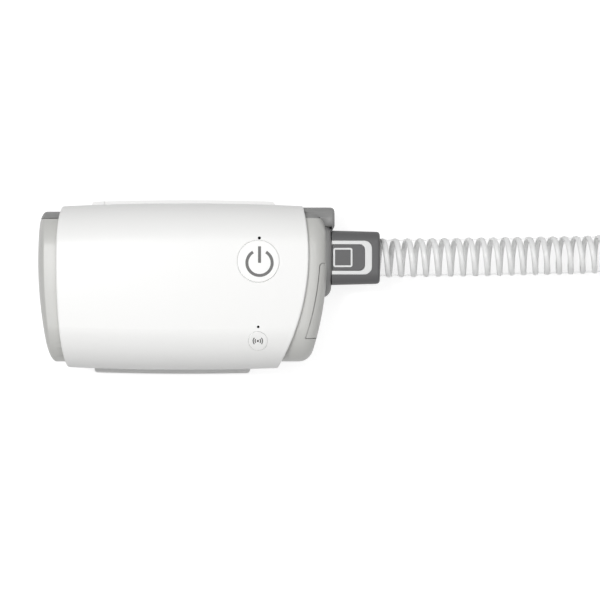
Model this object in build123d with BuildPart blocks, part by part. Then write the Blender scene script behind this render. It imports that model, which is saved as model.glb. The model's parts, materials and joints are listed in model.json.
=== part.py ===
from build123d import *
import math
import os

# Travel cpap machine with its air tube, in millimetres.
# +X points along the tube, +Y to the back, +Z up. The origin is on the table, under the middle.

# Casing
casing_top = 52.0
casing_underside = 1.2
casing_crown = 1.6
casing_top_corner = 20.0
casing_bottom_corner = 12.0
shell_thickness = 2.2
shell_split_height = 11.0
mouth_rounding = 0.8
# The casing is a barrel: where along X, the half width there, and the height there.
casing_stations = ((-62.0, 37.65, 51.2), (-2.0, 39.1, casing_top), (60.0, 37.7, 51.2))

# Curved ends, seen from above: the furthest X, the Y where that is, and the arc's radius.
left_mouth = (-58.9, 11.6, -350.0)
right_mouth = (57.6, 14.5, 103.0)
left_end = (-69.8, 12.0, -170.0)
right_end = (66.2, 13.5, 148.0)
plan_reach = 50.0

# Core: the body that the end cap, the filter cover and the spine share, seen at both ends
core_half_width = 35.3
core_underside = 3.8
core_top = 48.7
core_top_corner = 17.5
core_bottom_corner = 9.4
core_end_rounding = 7.0
core_wall = 2.2
moving_gap = 0.3

# Rear spine and power inlet block
spine_front = 31.8
spine_reach = 62.5
block_start = 55.0
block_end = 69.8
block_front = 26.7
block_back = 37.2
block_bottom = 6.5
block_top = 38.0
block_top_corner = 6.0
block_bottom_corner = 4.0
block_end_rounding = 2.0
jack_axis = (32.4, 13.0)
jack_radius = 3.6
jack_bore = 2.8
jack_start = 57.0
jack_end = 69.3
jack_floor = 1.5
jack_pin_radius = 1.25
jack_pin_end = 68.3

# Outlet
outlet_y = 13.5
outlet_z = 26.0
collar_base_radius = 18.4
collar_face_radius = 12.8
collar_shoulder = 65.4
collar_face = 68.2
collar_bore = 12.6
socket_bore = 11.0
socket_start = 50.0
socket_floor = 2.0
nipple_start = 40.0
nozzle_radius = 8.5
nozzle_bore = 7.0
seal_thickness = 2.0
seal_bore = 7.8

# Port cover on the right end
port_back = 10.5
port_front = -24.0
port_bottom = 12.0
port_inner_edge = ((62.9, port_back), (61.3, -4.0), (56.2, port_front))
port_corner = 1.6
port_cover_thickness = 1.3
port_collar_clearance = 0.4
service_port_y = -13.0
service_port_width = 8.2
service_port_height = 3.2
service_port_wall = 0.5
service_port_start = 53.4
service_port_end = 61.4

# Filter end
cover_inner_edge = -53.0
cover_slot_length = 30.0
cover_slot_height = 1.8
cover_slot_pitch = 4.4
cover_slot_count = 6
cover_slot_middle = (2.0, 26.0)
frame_front = -56.6
frame_flange = -52.7
frame_back = -50.5
frame_inset = 0.6
frame_window = (46.0, 26.0)
frame_bar = 1.4
frame_bar_pitch = 5.6
filter_size = (3.6, 52.0, 32.0)
filter_corner = 6.0
muffler_size = (9.0, 50.0, 30.0)
muffler_start = -49.0

# Foot rails and rubber feet
rail_outer = 42.0
rail_inner = 30.0
rail_bow_radius = 1250.0
rail_middle = -2.0
rail_bottom = 2.2
rail_top = 8.4
rail_end_rounding = 1.6
rail_pad_length = 6.0
rail_pad_rise = 0.9
back_rail = (-46.9, 41.5)
front_rail = (-45.5, 29.4)
foot_length = 14.0
foot_width = 3.6
foot_inset = 1.6

# Buttons and lamp windows
power_button_at = (34.4, 11.5)
power_button_radius = 9.65
power_button_lift = 0.35
power_button_bottom = 48.9
power_travel = 0.6
button_rim_rounding = 0.25
wireless_button_at = (34.2, -25.2)
wireless_button_radius = 4.35
wireless_button_bottom = 45.4
power_lamp_at = (34.9, 22.2)
power_lamp_radius = 0.7
wireless_lamp_at = (34.4, -18.7)
wireless_lamp_radius = 0.6
lamp_window_bottom = 44.5
fit_gap = 0.02

# Main board
board_bottom = 42.0
board_thickness = 1.6
board_ends = (-25.0, 39.0)
board_half_width = 29.5
board_corner = 2.0
post_radius = 2.0
post_places = ((-22.6, -25.5), (-22.6, 25.5), (24.0, -25.5), (36.5, 25.5))
board_screw_head = 1.9
board_screw_shank = 0.9
board_screw_head_height = 1.2
board_screw_length = 6.0
power_switch_size = (6.0, 6.0, 3.5)
power_plunger_radius = 1.7
power_plunger_bottom = 45.3
wireless_switch_size = (4.2, 4.2, 1.2)
wireless_plunger_radius = 0.9
wireless_plunger_bottom = 44.3
plunger_gap = 0.2
lamp_size = (1.6, 0.8, 0.8)
radio_module = (10.0, -19.0, 14.0, 11.0, 2.2)
processor = (14.0, 2.0, 9.0, 9.0, 1.2)
driver_chip = (-6.0, 4.0, 6.0, 6.0, 1.0)
memory_chip = (14.0, 15.0, 5.0, 4.0, 1.0)
capacitor_places = ((-14.0, -16.0), (-14.0, -6.0), (-14.0, 14.0))
capacitor_radius = 2.6
capacitor_height = 4.2
lead_socket = (-24.5, -1.0, 4.0, 10.0, 3.0)

# Chassis tray
tray_bottom = 3.5
tray_thickness = 2.0
tray_ends = (-49.0, 39.0)
tray_half_width = 27.6
tray_corner = 6.0
boss_radius = 3.0
boss_top = 9.5
casing_screw_places = ((-40.0, -20.0), (-40.0, 20.0), (27.0, -20.0), (27.0, 20.0))
casing_screw_shank = 1.2
casing_screw_head = 2.4
casing_screw_sink = 1.3

# Blower
blower_at = (-10.0, -1.0)
blower_radius = 25.0
blower_wall = 2.0
blower_bottom = 14.0
blower_top = 38.0
blower_inlet_radius = 9.0
nozzle_end = 20.0
mount_radius = 3.5
mount_circle = 17.0
mount_count = 3
hub_bore = 4.05
hub_wall = 0.95
hub_top = 24.0
bearing_bore = 1.55
bearing_heights = (16.3, 21.3)
bearing_height = 2.4
shaft_radius = 1.5
shaft_bottom = 16.2
shaft_top = 33.0
stator_inner = 5.05
stator_yoke = 7.0
stator_outer = 11.0
stator_bottom = 17.2
stator_height = 4.6
stator_teeth = 6
tooth_width = 2.6
magnet_inner = 11.5
magnet_outer = 13.0
magnet_bottom = 17.0
magnet_height = 5.6
impeller_hub_radius = 14.2
impeller_skirt_bottom = 17.0
impeller_disc_bottom = 24.3
impeller_disc_thickness = 1.2
impeller_radius = 20.0
blade_count = 11
blade_inner = 7.0
blade_height = 6.5
blade_thickness = 0.8
blade_lean = 35.0
blade_cap_radius = 5.0

# Outlet duct and pressure sensor
duct_wall = 1.2
duct_start = 15.2
duct_end = 48.0
duct_rib_places = (23.0, 26.0, 29.0)
duct_rib_width = 1.6
duct_rib_height = 1.4
sensor_at = (35.0, outlet_y)
sensor_size = (7.0, 7.0, 3.4)
sensor_nozzle_radius = 1.4
sensor_nozzle_bottom = 34.9
grommet_radius = 2.8

# Motor lead, from the blower up to the board's socket
lead_radius = 1.0
lead_points = ((-28.5, 4.0, 38.0), (-28.5, 4.0, 45.1), (-24.5, 4.0, 45.1))
lead_bend = 2.5

# Tube connector
connector_start = 68.5
connector_end = 91.0
connector_width_start = 25.5
connector_width_end = 24.4
connector_height_start = 26.0
connector_height_end = 25.0
connector_corner = 5.0
connector_end_rounding = 1.5
connector_wall = 2.0
connector_end_wall = 1.5
slot_end = 87.2
slot_width = 15.8
slot_corner = 3.6
tongue_start = 68.8
tongue_end = 83.7
tongue_width = 11.9
tongue_corner = 2.4
tongue_pocket = 1.9
tongue_gap = 0.25
rib_drop = 0.3
square_middle = 73.6
square_size = 9.0
square_line = 0.85
square_depth = 0.4
square_corner = 1.0
spigot_radius = 10.6
spigot_start = 54.3
airway_radius = 8.0
ring_middle = 61.0
ring_centre_radius = 9.9
ring_thickness_radius = 0.85
ring_groove = (1.8, 9.05)

# Air hose
hose_diameter = 19.0
hose_wall = 0.9
hose_start = 84.2
hose_fit = 0.1
# The hose leaves the connector level, comes down to the table and swings towards the coil.
hose_points = (
    (hose_start, outlet_y, outlet_z),
    (120.0, 13.8, 26.0),
    (159.0, 14.6, 21.0),
    (198.0, 15.4, 13.0),
    (236.0, 19.0, 9.7),
    (274.5, 26.5, 9.7),
    (313.5, 31.5, 9.7),
)
hose_joint_run = 3

# Coil: an outer turn, an inner turn, and most of a turn that lies in the groove between them.
# Angles are in degrees, clockwise from where the hose meets the coil.
coil_outer_turn = 103.5
coil_turn_pitch = 19.0
coil_slack = 0.2
coil_climb = (560.0, 625.0)
coil_upper_height = 26.3
coil_last_rise = (820.0, 885.0)
coil_end_height = 32.8
coil_end_angle = 900.0
coil_upper_runs = 12
coil_end_run = 20.0
bend_share = 0.45
least_bend = 3 * hose_diameter

# Far end of the hose
cuff_length = 30.0
cuff_radius = 12.0
cuff_waist_radius = 10.4
cuff_spigot_length = 7.5
cuff_spigot_radius = 9.5
swivel_radius = 12.6
swivel_length = 22.0
swivel_bore = 11.0
swivel_bore_depth = 14.0
running_gap = 0.05
end_chamfer = 0.6

# Longer than the machine, for trimming forms
far = 100.0


def end_x(arc, y, inset=0.0):
    """X of a curved end at a given Y. A negative radius bulges towards -X."""
    apex, middle, radius = arc
    reach = abs(radius) - inset
    drop = reach - math.sqrt(reach**2 - (y - middle) ** 2)
    return apex - math.copysign(drop + inset, radius)


def plan_between(left, right, inset=0.0):
    """The plan between two curved ends, from -Y to +Y."""
    with BuildSketch() as plan:
        with BuildLine():
            left_points = [(end_x(left, y, inset), y) for y in (-plan_reach, left[1], plan_reach)]
            right_points = [(end_x(right, y, inset), y) for y in (plan_reach, right[1], -plan_reach)]
            ThreePointArc(*left_points)
            Line(left_points[-1], right_points[0])
            ThreePointArc(*right_points)
            Line(right_points[-1], left_points[0])
        make_face()
    return plan.sketch


def body_section(plane, half_width, bottom, top, top_corner, bottom_corner):
    """A section across the machine: crowned top, straight sides, flat bottom, rounded corners."""
    shoulder = top - casing_crown
    with BuildSketch(plane) as section:
        with BuildLine():
            Polyline(
                (half_width, shoulder),
                (half_width, bottom),
                (-half_width, bottom),
                (-half_width, shoulder),
            )
            ThreePointArc((-half_width, shoulder), (0, top), (half_width, shoulder))
        make_face()
        fillet(section.vertices().group_by(Axis.Y)[0], bottom_corner)
        fillet(section.vertices().group_by(Axis.Y)[-1], top_corner)
    return section.sketch


def casing_form(inset):
    """The barrel of the casing, or the room inside it."""
    with BuildPart() as form:
        for x, half_width, top in casing_stations:
            section = body_section(
                Plane.YZ.offset(x * (1 + inset / plan_reach)),
                half_width - inset,
                casing_underside + inset,
                top - inset,
                casing_top_corner - inset,
                casing_bottom_corner - inset,
            )
            add(section)
        loft()
    return form.part


def core_form(inset):
    """The core with its rounded ends, or the same form a wall's thickness further in."""
    section = body_section(
        Plane.YZ.offset(2 * left_end[0]),
        core_half_width - inset,
        core_underside + inset,
        core_top - inset,
        core_top_corner - inset,
        core_bottom_corner - inset,
    )
    with BuildPart() as plan_body:
        extrude(plan_between(left_end, right_end, inset), amount=2 * core_top)
    with BuildPart() as form:
        extrude(section, amount=4 * right_end[0])
        add(plan_body.part, mode=Mode.INTERSECT)
        end_faces = form.faces().sort_by(Axis.X)
        fillet(end_faces[0].edges() + end_faces[-1].edges(), core_end_rounding - inset)
    return form.part


def block(x_range, y_range, z_range):
    """A plain block between six planes, for trimming other forms."""
    spans = (x_range, y_range, z_range)
    middle = (sum(x_range) / 2, sum(y_range) / 2)
    return box_at(middle, z_range[0], [span[1] - span[0] for span in spans])


def box_at(place, bottom, size):
    """A box standing on a level, centred on a place."""
    with BuildPart(Plane.XY.offset(bottom)) as standing:
        with Locations(place):
            Box(*size, align=(Align.CENTER, Align.CENTER, Align.MIN))
    return standing.part


def below_level(height):
    """Everything near the model that is lower than a height."""
    return block((-far, far), (-far, far), (-far, height))


def rod(place, radius, bottom, top):
    """An upright rod."""
    with BuildPart(Plane.XY.offset(bottom)) as upright:
        with Locations(place):
            Cylinder(radius, top - bottom, align=(Align.CENTER, Align.CENTER, Align.MIN))
    return upright.part


def pipe(radius, start, end, bore=0.0):
    """A round pipe or rod along the outlet's axis."""
    with BuildPart() as along:
        with BuildSketch(Plane.YZ.offset(start)):
            with Locations((outlet_y, outlet_z)):
                Circle(radius)
                if bore:
                    Circle(bore, mode=Mode.SUBTRACT)
        extrude(amount=end - start)
    return along.part


def save(part, name):
    """Name a finished piece and write it."""
    part.label = name
    export_step(part, f"parts/{name}.step")


os.makedirs("parts", exist_ok=True)

casing_solid = casing_form(0.0)
casing_room = casing_form(shell_thickness)
core_solid = core_form(0.0)
core_room = core_form(core_wall)

with BuildPart() as mouths:
    extrude(plan_between(left_mouth, right_mouth), amount=2 * casing_top)

with BuildPart() as casing_wall:
    add(casing_solid)
    add(casing_room, mode=Mode.SUBTRACT)
    add(mouths.part, mode=Mode.INTERSECT)

# Upper shell: the top and the long sides, with holes for the buttons and the lamp windows
with BuildPart() as upper_shell:
    add(casing_wall.part)
    split(bisect_by=Plane.XY.offset(shell_split_height), keep=Keep.TOP)
    outer_rims = [
        edge
        for face in upper_shell.faces().filter_by(GeomType.CYLINDER)
        for edge in face.edges()
        if casing_room.distance_to(edge.center()) > shell_thickness / 2
        and edge.center().Z > shell_split_height
    ]
    fillet(outer_rims, mouth_rounding)
    for place, radius in (
        (power_button_at, power_button_radius + moving_gap),
        (wireless_button_at, wireless_button_radius + moving_gap),
        (power_lamp_at, power_lamp_radius + fit_gap),
        (wireless_lamp_at, wireless_lamp_radius + fit_gap),
    ):
        add(rod(place, radius, shell_split_height, far), mode=Mode.SUBTRACT)
save(upper_shell.part, "upper_shell")

# Bottom shell: a tray with sunk holes for the casing screws
screw_head_top = casing_underside + shell_thickness - casing_screw_sink
with BuildPart() as bottom_shell:
    add(casing_wall.part)
    split(bisect_by=Plane.XY.offset(shell_split_height), keep=Keep.BOTTOM)
    for place in casing_screw_places:
        add(rod(place, casing_screw_shank + moving_gap, 0, shell_split_height), mode=Mode.SUBTRACT)
        add(rod(place, casing_screw_head + moving_gap, 0, screw_head_top), mode=Mode.SUBTRACT)
save(bottom_shell.part, "bottom_shell")


def foot_rail(side, ends):
    """A rail along one long side. It hugs the casing, follows its bow and is thicker at its ends."""
    half_length = (ends[1] - ends[0]) / 2

    def outer_y(x):
        bow = rail_bow_radius - math.sqrt(rail_bow_radius**2 - (x - rail_middle) ** 2)
        return side * (rail_outer - bow)

    with BuildPart() as rail:
        with BuildSketch(Plane.XY.offset(rail_bottom)) as band:
            with BuildLine():
                start, end = (ends[0], outer_y(ends[0])), (ends[1], outer_y(ends[1]))
                ThreePointArc(start, (rail_middle, outer_y(rail_middle)), end)
                Line(end, (ends[1], side * rail_inner))
                Line((ends[1], side * rail_inner), (ends[0], side * rail_inner))
                Line((ends[0], side * rail_inner), start)
            make_face()
            outer_corners = band.vertices().filter_by(lambda v: abs(v.Y) > rail_inner + 1)
            fillet(outer_corners, rail_end_rounding)
        extrude(amount=rail_top - rail_bottom)
        with BuildSketch(Plane.XY.offset(rail_top)) as pads:
            middle = ((ends[0] + ends[1]) / 2, side * (rail_outer + rail_inner) / 2)
            with Locations(middle):
                with GridLocations(2 * half_length - rail_pad_length, 0, 2, 1):
                    Rectangle(rail_pad_length, rail_outer - rail_inner)
            add(band.sketch.moved(Location((0, 0, 0))), mode=Mode.INTERSECT)
        extrude(amount=rail_pad_rise)
        add(casing_solid, mode=Mode.SUBTRACT)
    return rail.part


save(foot_rail(1, back_rail), "back_foot_rail")
save(foot_rail(-1, front_rail), "front_foot_rail")

# Rubber feet, one under each end of each rail
foot_y = rail_outer - foot_inset - foot_width
with BuildPart() as foot_pads:
    for side, ends in ((1, back_rail), (-1, front_rail)):
        foot_middle = ((ends[0] + ends[1]) / 2, side * foot_y)
        with BuildSketch():
            with Locations(foot_middle):
                with GridLocations(ends[1] - ends[0] - foot_length - 2 * foot_inset, 0, 2, 1):
                    SlotOverall(foot_length, foot_width)
    extrude(amount=rail_bottom)
save(foot_pads.part, "foot_pads")

# Rear spine: the back of the core, with the power inlet block round the outlet collar
with BuildPart() as inlet_block:
    with BuildSketch(Plane.YZ.offset(block_start)) as block_outline:
        with Locations(((block_front + block_back) / 2, (block_bottom + block_top) / 2)):
            Rectangle(block_back - block_front, block_top - block_bottom)
        back_corners = block_outline.vertices().group_by(Axis.X)[-1].sort_by(Axis.Y)
        fillet(back_corners[1], block_top_corner)
        back_corners = block_outline.vertices().group_by(Axis.Y)[0].sort_by(Axis.X)
        fillet(back_corners[-1], block_bottom_corner)
    extrude(amount=block_end - block_start)
    fillet(inlet_block.faces().sort_by(Axis.X)[-1].edges(), block_end_rounding)
    add(pipe(collar_base_radius + port_collar_clearance, 0, connector_start), mode=Mode.SUBTRACT)
    with BuildSketch(Plane.YZ.offset(block_start)):
        with Locations(jack_axis):
            Circle(jack_radius)
    extrude(amount=far, mode=Mode.SUBTRACT)
    add(core_solid, mode=Mode.SUBTRACT)
    add(mouths.part, mode=Mode.SUBTRACT)

with BuildPart() as spine_bar:
    add(core_solid)
    add(block((-far, spine_reach), (spine_front, far), (0, far)), mode=Mode.INTERSECT)
    with BuildSketch(Plane.YZ.offset(jack_start)):
        with Locations(jack_axis):
            Circle(jack_radius)
    extrude(amount=far, mode=Mode.SUBTRACT)

with BuildPart() as rear_spine:
    add(spine_bar.part)
    add(inlet_block.part)
save(rear_spine.part, "rear_spine")

# Power jack, set in the block, and its pin
with BuildPart() as power_jack:
    with BuildSketch(Plane.YZ.offset(jack_start)):
        with Locations(jack_axis):
            Circle(jack_radius)
    extrude(amount=jack_end - jack_start)
    with BuildSketch(Plane.YZ.offset(jack_start + jack_floor)):
        with Locations(jack_axis):
            Circle(jack_bore)
    extrude(amount=far, mode=Mode.SUBTRACT)
save(power_jack.part, "power_jack")

with BuildPart() as power_jack_pin:
    with BuildSketch(Plane.YZ.offset(jack_start + jack_floor)):
        with Locations(jack_axis):
            Circle(jack_pin_radius)
    extrude(amount=jack_pin_end - jack_start - jack_floor)
    chamfer(power_jack_pin.faces().sort_by(Axis.X)[-1].edges(), jack_pin_radius / 4)
save(power_jack_pin.part, "power_jack_pin")


def port_region(clearance):
    """The part of the right end that the port cover takes up, from above."""
    with BuildPart() as region:
        with BuildSketch(Plane.XY.offset(port_bottom - clearance)) as outline:
            back, middle, front = port_inner_edge
            with BuildLine():
                ThreePointArc(
                    (back[0] - clearance, back[1] + clearance),
                    (middle[0] - clearance, middle[1]),
                    (front[0] - clearance, front[1] - clearance),
                )
                Polyline(
                    (front[0] - clearance, front[1] - clearance),
                    (far, front[1] - clearance),
                    (far, back[1] + clearance),
                    (back[0] - clearance, back[1] + clearance),
                )
            make_face()
            back_corner = (back[0] - clearance, back[1] + clearance, port_bottom - clearance)
            fillet(outline.vertices().sort_by_distance(back_corner)[0], port_corner + clearance)
        extrude(amount=far)
        collar_room = collar_base_radius + port_collar_clearance - clearance
        add(pipe(collar_room, 0, far), mode=Mode.SUBTRACT)
    return region.part


# Outlet end cap: the right end of the core, in front of the spine
cap_inner_edge = board_ends[1] + 0.5
with BuildPart() as outlet_end_cap:
    add(core_solid)
    add(core_room, mode=Mode.SUBTRACT)
    add(block((cap_inner_edge, far), (-far, spine_front), (0, far)), mode=Mode.INTERSECT)
    add(pipe(collar_bore, 0, far), mode=Mode.SUBTRACT)
    cover_bed = port_region(moving_gap) - core_form(port_cover_thickness + moving_gap)
    add(cover_bed, mode=Mode.SUBTRACT)
    with BuildSketch(Plane.YZ.offset(service_port_start)):
        with Locations((service_port_y, outlet_z)):
            Rectangle(service_port_width, service_port_height)
    extrude(amount=far, mode=Mode.SUBTRACT)
    with BuildSketch(Plane.YZ.offset(jack_start)):
        with Locations(jack_axis):
            Circle(jack_radius)
    extrude(amount=far, mode=Mode.SUBTRACT)
    button_room = power_button_radius + 2 * moving_gap
    add(rod(power_button_at, button_room, outlet_z + nozzle_radius, far), mode=Mode.SUBTRACT)
save(outlet_end_cap.part, "outlet_end_cap")

# Port cover: it lies in its bed and pulls straight off
with BuildPart() as port_cover:
    add(core_solid)
    add(core_form(port_cover_thickness), mode=Mode.SUBTRACT)
    add(port_region(0), mode=Mode.INTERSECT)
save(port_cover.part, "port_cover")

with BuildPart() as service_port:
    with BuildSketch(Plane.YZ.offset(service_port_start)):
        with Locations((service_port_y, outlet_z)):
            Rectangle(service_port_width, service_port_height)
    extrude(amount=service_port_end - service_port_start)
    with BuildSketch(Plane.YZ.offset(service_port_start + service_port_wall)):
        with Locations((service_port_y, outlet_z)):
            inner_width = service_port_width - 2 * service_port_wall
            Rectangle(inner_width, service_port_height - 2 * service_port_wall)
    extrude(amount=far, mode=Mode.SUBTRACT)
save(service_port.part, "service_port")

# Outlet collar: a low dome that hugs the curved end
outlet_line = Plane(origin=(0, outlet_y, outlet_z), x_dir=(1, 0, 0), z_dir=(0, -1, 0))
outlet_axis = Axis((0, outlet_y, outlet_z), (1, 0, 0))
with BuildPart() as outlet_collar:
    with BuildSketch(outlet_line):
        with BuildLine():
            shoulder = (collar_shoulder, collar_base_radius)
            rim = (collar_face, collar_face_radius)
            round_middle = (
                collar_shoulder + (collar_face - collar_shoulder) * math.sqrt(0.5),
                collar_face_radius + (collar_base_radius - collar_face_radius) * math.sqrt(0.5),
            )
            ThreePointArc(shoulder, round_middle, rim)
            Polyline(
                rim,
                (collar_face, collar_bore),
                (collar_shoulder - socket_floor, collar_bore),
                (collar_shoulder - socket_floor, collar_base_radius),
                shoulder,
            )
        make_face()
    revolve(axis=outlet_axis)
    add(core_solid, mode=Mode.SUBTRACT)
    add(pipe(collar_bore, 0, far), mode=Mode.SUBTRACT)
save(outlet_collar.part, "outlet_collar")

# Outlet socket: the cup that the connector's spigot goes in, with a nipple for the duct
with BuildPart() as outlet_socket:
    add(pipe(collar_bore, socket_start, collar_face, nozzle_bore))
    add(pipe(nozzle_radius, nipple_start, socket_start, nozzle_bore))
    add(pipe(socket_bore, socket_start + socket_floor, far), mode=Mode.SUBTRACT)
save(outlet_socket.part, "outlet_socket")

seal_start = socket_start + socket_floor
with BuildPart() as outlet_seal:
    add(pipe(socket_bore, seal_start, seal_start + seal_thickness, seal_bore))
save(outlet_seal.part, "outlet_seal")

# Filter cover: the left end, with slots for the air, pulled off towards -X
with BuildPart() as filter_cover:
    add(core_solid)
    add(core_room, mode=Mode.SUBTRACT)
    cover_back = spine_front - moving_gap
    add(block((-far, cover_inner_edge), (-far, cover_back), (0, far)), mode=Mode.INTERSECT)
    with BuildSketch(Plane.YZ.offset(-far)):
        with Locations(cover_slot_middle):
            with GridLocations(0, cover_slot_pitch, 1, cover_slot_count):
                SlotOverall(cover_slot_length, cover_slot_height)
    extrude(amount=far + frame_front, mode=Mode.SUBTRACT)
save(filter_cover.part, "filter_cover")

# Intake frame: a barred window behind the filter, with a flange that closes the casing
with BuildPart() as intake_frame:
    for start, step in ((frame_front, core_wall + frame_inset), (frame_flange, 0.0)):
        section = body_section(
            Plane.YZ.offset(start),
            core_half_width - step,
            core_underside + step,
            core_top - step,
            core_top_corner - step,
            core_bottom_corner - step,
        )
        extrude(section, amount=frame_back - start)
    add(block((-far, far), (-far, spine_front - 2 * moving_gap), (0, far)), mode=Mode.INTERSECT)
    with BuildSketch(Plane.YZ.offset(frame_front)):
        with Locations(cover_slot_middle):
            Rectangle(*frame_window)
            bar_count = round(frame_window[0] / frame_bar_pitch) - 1
            with GridLocations(frame_bar_pitch, 0, bar_count, 1):
                Rectangle(frame_bar, frame_window[1], mode=Mode.SUBTRACT)
    extrude(amount=far, mode=Mode.SUBTRACT)
save(intake_frame.part, "intake_frame")


def upright_pad(start, size):
    """A soft block with rounded long edges, standing behind the intake."""
    with BuildPart() as pad:
        with BuildSketch(Plane.YZ.offset(start)):
            with Locations(cover_slot_middle):
                RectangleRounded(size[1], size[2], filter_corner)
        extrude(amount=size[0])
    return pad.part


save(upright_pad(frame_front - filter_size[0], filter_size), "filter_pad")
save(upright_pad(muffler_start, muffler_size), "inlet_muffler")

# Chassis tray: the plate that carries the blower and the board, with posts and bosses
board_top = board_bottom + board_thickness
tray_top = tray_bottom + tray_thickness
with BuildPart() as chassis_tray:
    with BuildSketch(Plane.XY.offset(tray_bottom)):
        with Locations((sum(tray_ends) / 2, 0)):
            RectangleRounded(tray_ends[1] - tray_ends[0], 2 * tray_half_width, tray_corner)
    extrude(amount=tray_thickness)
    for place in post_places:
        add(rod(place, post_radius, tray_top, board_bottom))
        add(rod(place, board_screw_shank, board_top - board_screw_length, far), mode=Mode.SUBTRACT)
    for place in casing_screw_places:
        add(rod(place, boss_radius, tray_top, boss_top))
        add(rod(place, casing_screw_shank, 0, boss_top), mode=Mode.SUBTRACT)
save(chassis_tray.part, "chassis_tray")

with BuildPart() as casing_screws:
    for place in casing_screw_places:
        add(rod(place, casing_screw_head, casing_underside + fit_gap, screw_head_top))
        add(rod(place, casing_screw_shank, screw_head_top, boss_top))
save(casing_screws.part, "casing_screws")

# Blower: two halves that meet at the height of the outlet's axis, round one room for the air
blower_x, blower_y = blower_at
with BuildPart() as blower_outside:
    add(rod(blower_at, blower_radius, blower_bottom, blower_top))
    add(pipe(nozzle_radius, blower_x, nozzle_end))

with BuildPart() as blower_room:
    room_radius = blower_radius - blower_wall
    add(rod(blower_at, room_radius, blower_bottom + blower_wall, blower_top - blower_wall))
    add(pipe(nozzle_bore, blower_x, far))
    add(rod(blower_at, blower_inlet_radius, outlet_z, far))

with BuildPart() as blower_base:
    add(blower_outside.part)
    add(blower_room.part, mode=Mode.SUBTRACT)
    split(bisect_by=Plane.XY.offset(outlet_z), keep=Keep.BOTTOM)
    add(rod(blower_at, hub_bore + hub_wall, blower_bottom, hub_top))
    add(rod(blower_at, hub_bore, blower_bottom + blower_wall, far), mode=Mode.SUBTRACT)
save(blower_base.part, "blower_base")

with BuildPart() as blower_cover:
    add(blower_outside.part)
    add(blower_room.part, mode=Mode.SUBTRACT)
    split(bisect_by=Plane.XY.offset(outlet_z), keep=Keep.TOP)
save(blower_cover.part, "blower_cover")

with BuildPart(Plane.XY.offset(tray_top)) as suspension_mounts:
    with Locations(blower_at):
        with PolarLocations(mount_circle, mount_count, start_angle=-90):
            mount_height = blower_bottom - tray_top
            Cylinder(mount_radius, mount_height, align=(Align.CENTER, Align.CENTER, Align.MIN))
save(suspension_mounts.part, "suspension_mounts")

with BuildPart() as motor_bearings:
    for height in bearing_heights:
        add(rod(blower_at, hub_bore - fit_gap, height, height + bearing_height))
    add(rod(blower_at, bearing_bore, 0, far), mode=Mode.SUBTRACT)
save(motor_bearings.part, "motor_bearings")

with BuildPart() as stator_core:
    with BuildSketch(Plane.XY.offset(stator_bottom)):
        with Locations(blower_at):
            Circle(stator_yoke)
            with PolarLocations((stator_outer + stator_inner) / 2, stator_teeth):
                Rectangle(stator_outer - stator_inner, tooth_width)
            Circle(stator_inner, mode=Mode.SUBTRACT)
    extrude(amount=stator_height)
save(stator_core.part, "stator_core")

with BuildPart() as stator_windings:
    with BuildSketch(Plane.XY.offset(stator_bottom + 0.4)):
        with Locations(blower_at):
            Circle(stator_outer - 0.8)
            Circle(stator_yoke + fit_gap, mode=Mode.SUBTRACT)
            with PolarLocations((stator_outer + stator_yoke) / 2, stator_teeth):
                Rectangle(stator_outer, tooth_width + 2 * fit_gap, mode=Mode.SUBTRACT)
    extrude(amount=stator_height - 0.8)
save(stator_windings.part, "stator_windings")

# Rotor: the impeller with its skirt, the magnet inside the skirt, and the shaft
with BuildPart() as motor_shaft:
    add(rod(blower_at, shaft_radius, shaft_bottom, shaft_top))
save(motor_shaft.part, "motor_shaft")

disc_top = impeller_disc_bottom + impeller_disc_thickness
with BuildPart() as rotor_magnet:
    add(rod(blower_at, magnet_outer, magnet_bottom, magnet_bottom + magnet_height))
    add(rod(blower_at, magnet_inner, 0, far), mode=Mode.SUBTRACT)
save(rotor_magnet.part, "rotor_magnet")

with BuildPart() as impeller:
    add(rod(blower_at, impeller_hub_radius, impeller_skirt_bottom, impeller_disc_bottom))
    add(rod(blower_at, magnet_outer, 0, impeller_disc_bottom), mode=Mode.SUBTRACT)
    add(rod(blower_at, impeller_radius, impeller_disc_bottom, disc_top))
    add(rod(blower_at, blade_cap_radius, disc_top, shaft_top))
    with BuildSketch(Plane.XY.offset(disc_top)):
        with Locations(blower_at):
            with PolarLocations((blade_inner + impeller_radius) / 2, blade_count):
                with Locations(Location((0, 0), blade_lean)):
                    Rectangle(impeller_radius - blade_inner, blade_thickness)
    extrude(amount=blade_height)
    add(rod(blower_at, shaft_radius, 0, far), mode=Mode.SUBTRACT)
save(impeller.part, "impeller")

# Outlet duct: a soft sleeve from the blower's nozzle to the socket's nipple
with BuildPart() as outlet_duct:
    duct_radius = nozzle_radius + duct_wall
    add(pipe(duct_radius, duct_start, duct_end, nozzle_radius))
    for place in duct_rib_places:
        rib_radius = duct_radius + duct_rib_height
        add(pipe(rib_radius, place, place + duct_rib_width, nozzle_radius))
    add(rod(sensor_at, sensor_nozzle_radius, outlet_z, far), mode=Mode.SUBTRACT)
save(outlet_duct.part, "outlet_duct")

# Pressure sensor under the board, with its nozzle in the duct and a rubber grommet round it
sensor_bottom = board_bottom - sensor_size[2]
with BuildPart() as pressure_sensor:
    add(box_at(sensor_at, sensor_bottom, sensor_size))
    add(rod(sensor_at, sensor_nozzle_radius, sensor_nozzle_bottom, sensor_bottom))
save(pressure_sensor.part, "pressure_sensor")

with BuildPart() as sensor_grommet:
    add(rod(sensor_at, grommet_radius, outlet_z + nozzle_radius, sensor_bottom))
    add(rod(sensor_at, sensor_nozzle_radius, 0, far), mode=Mode.SUBTRACT)
    add(pipe(nozzle_radius + duct_wall, 0, far), mode=Mode.SUBTRACT)
save(sensor_grommet.part, "sensor_grommet")

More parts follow.
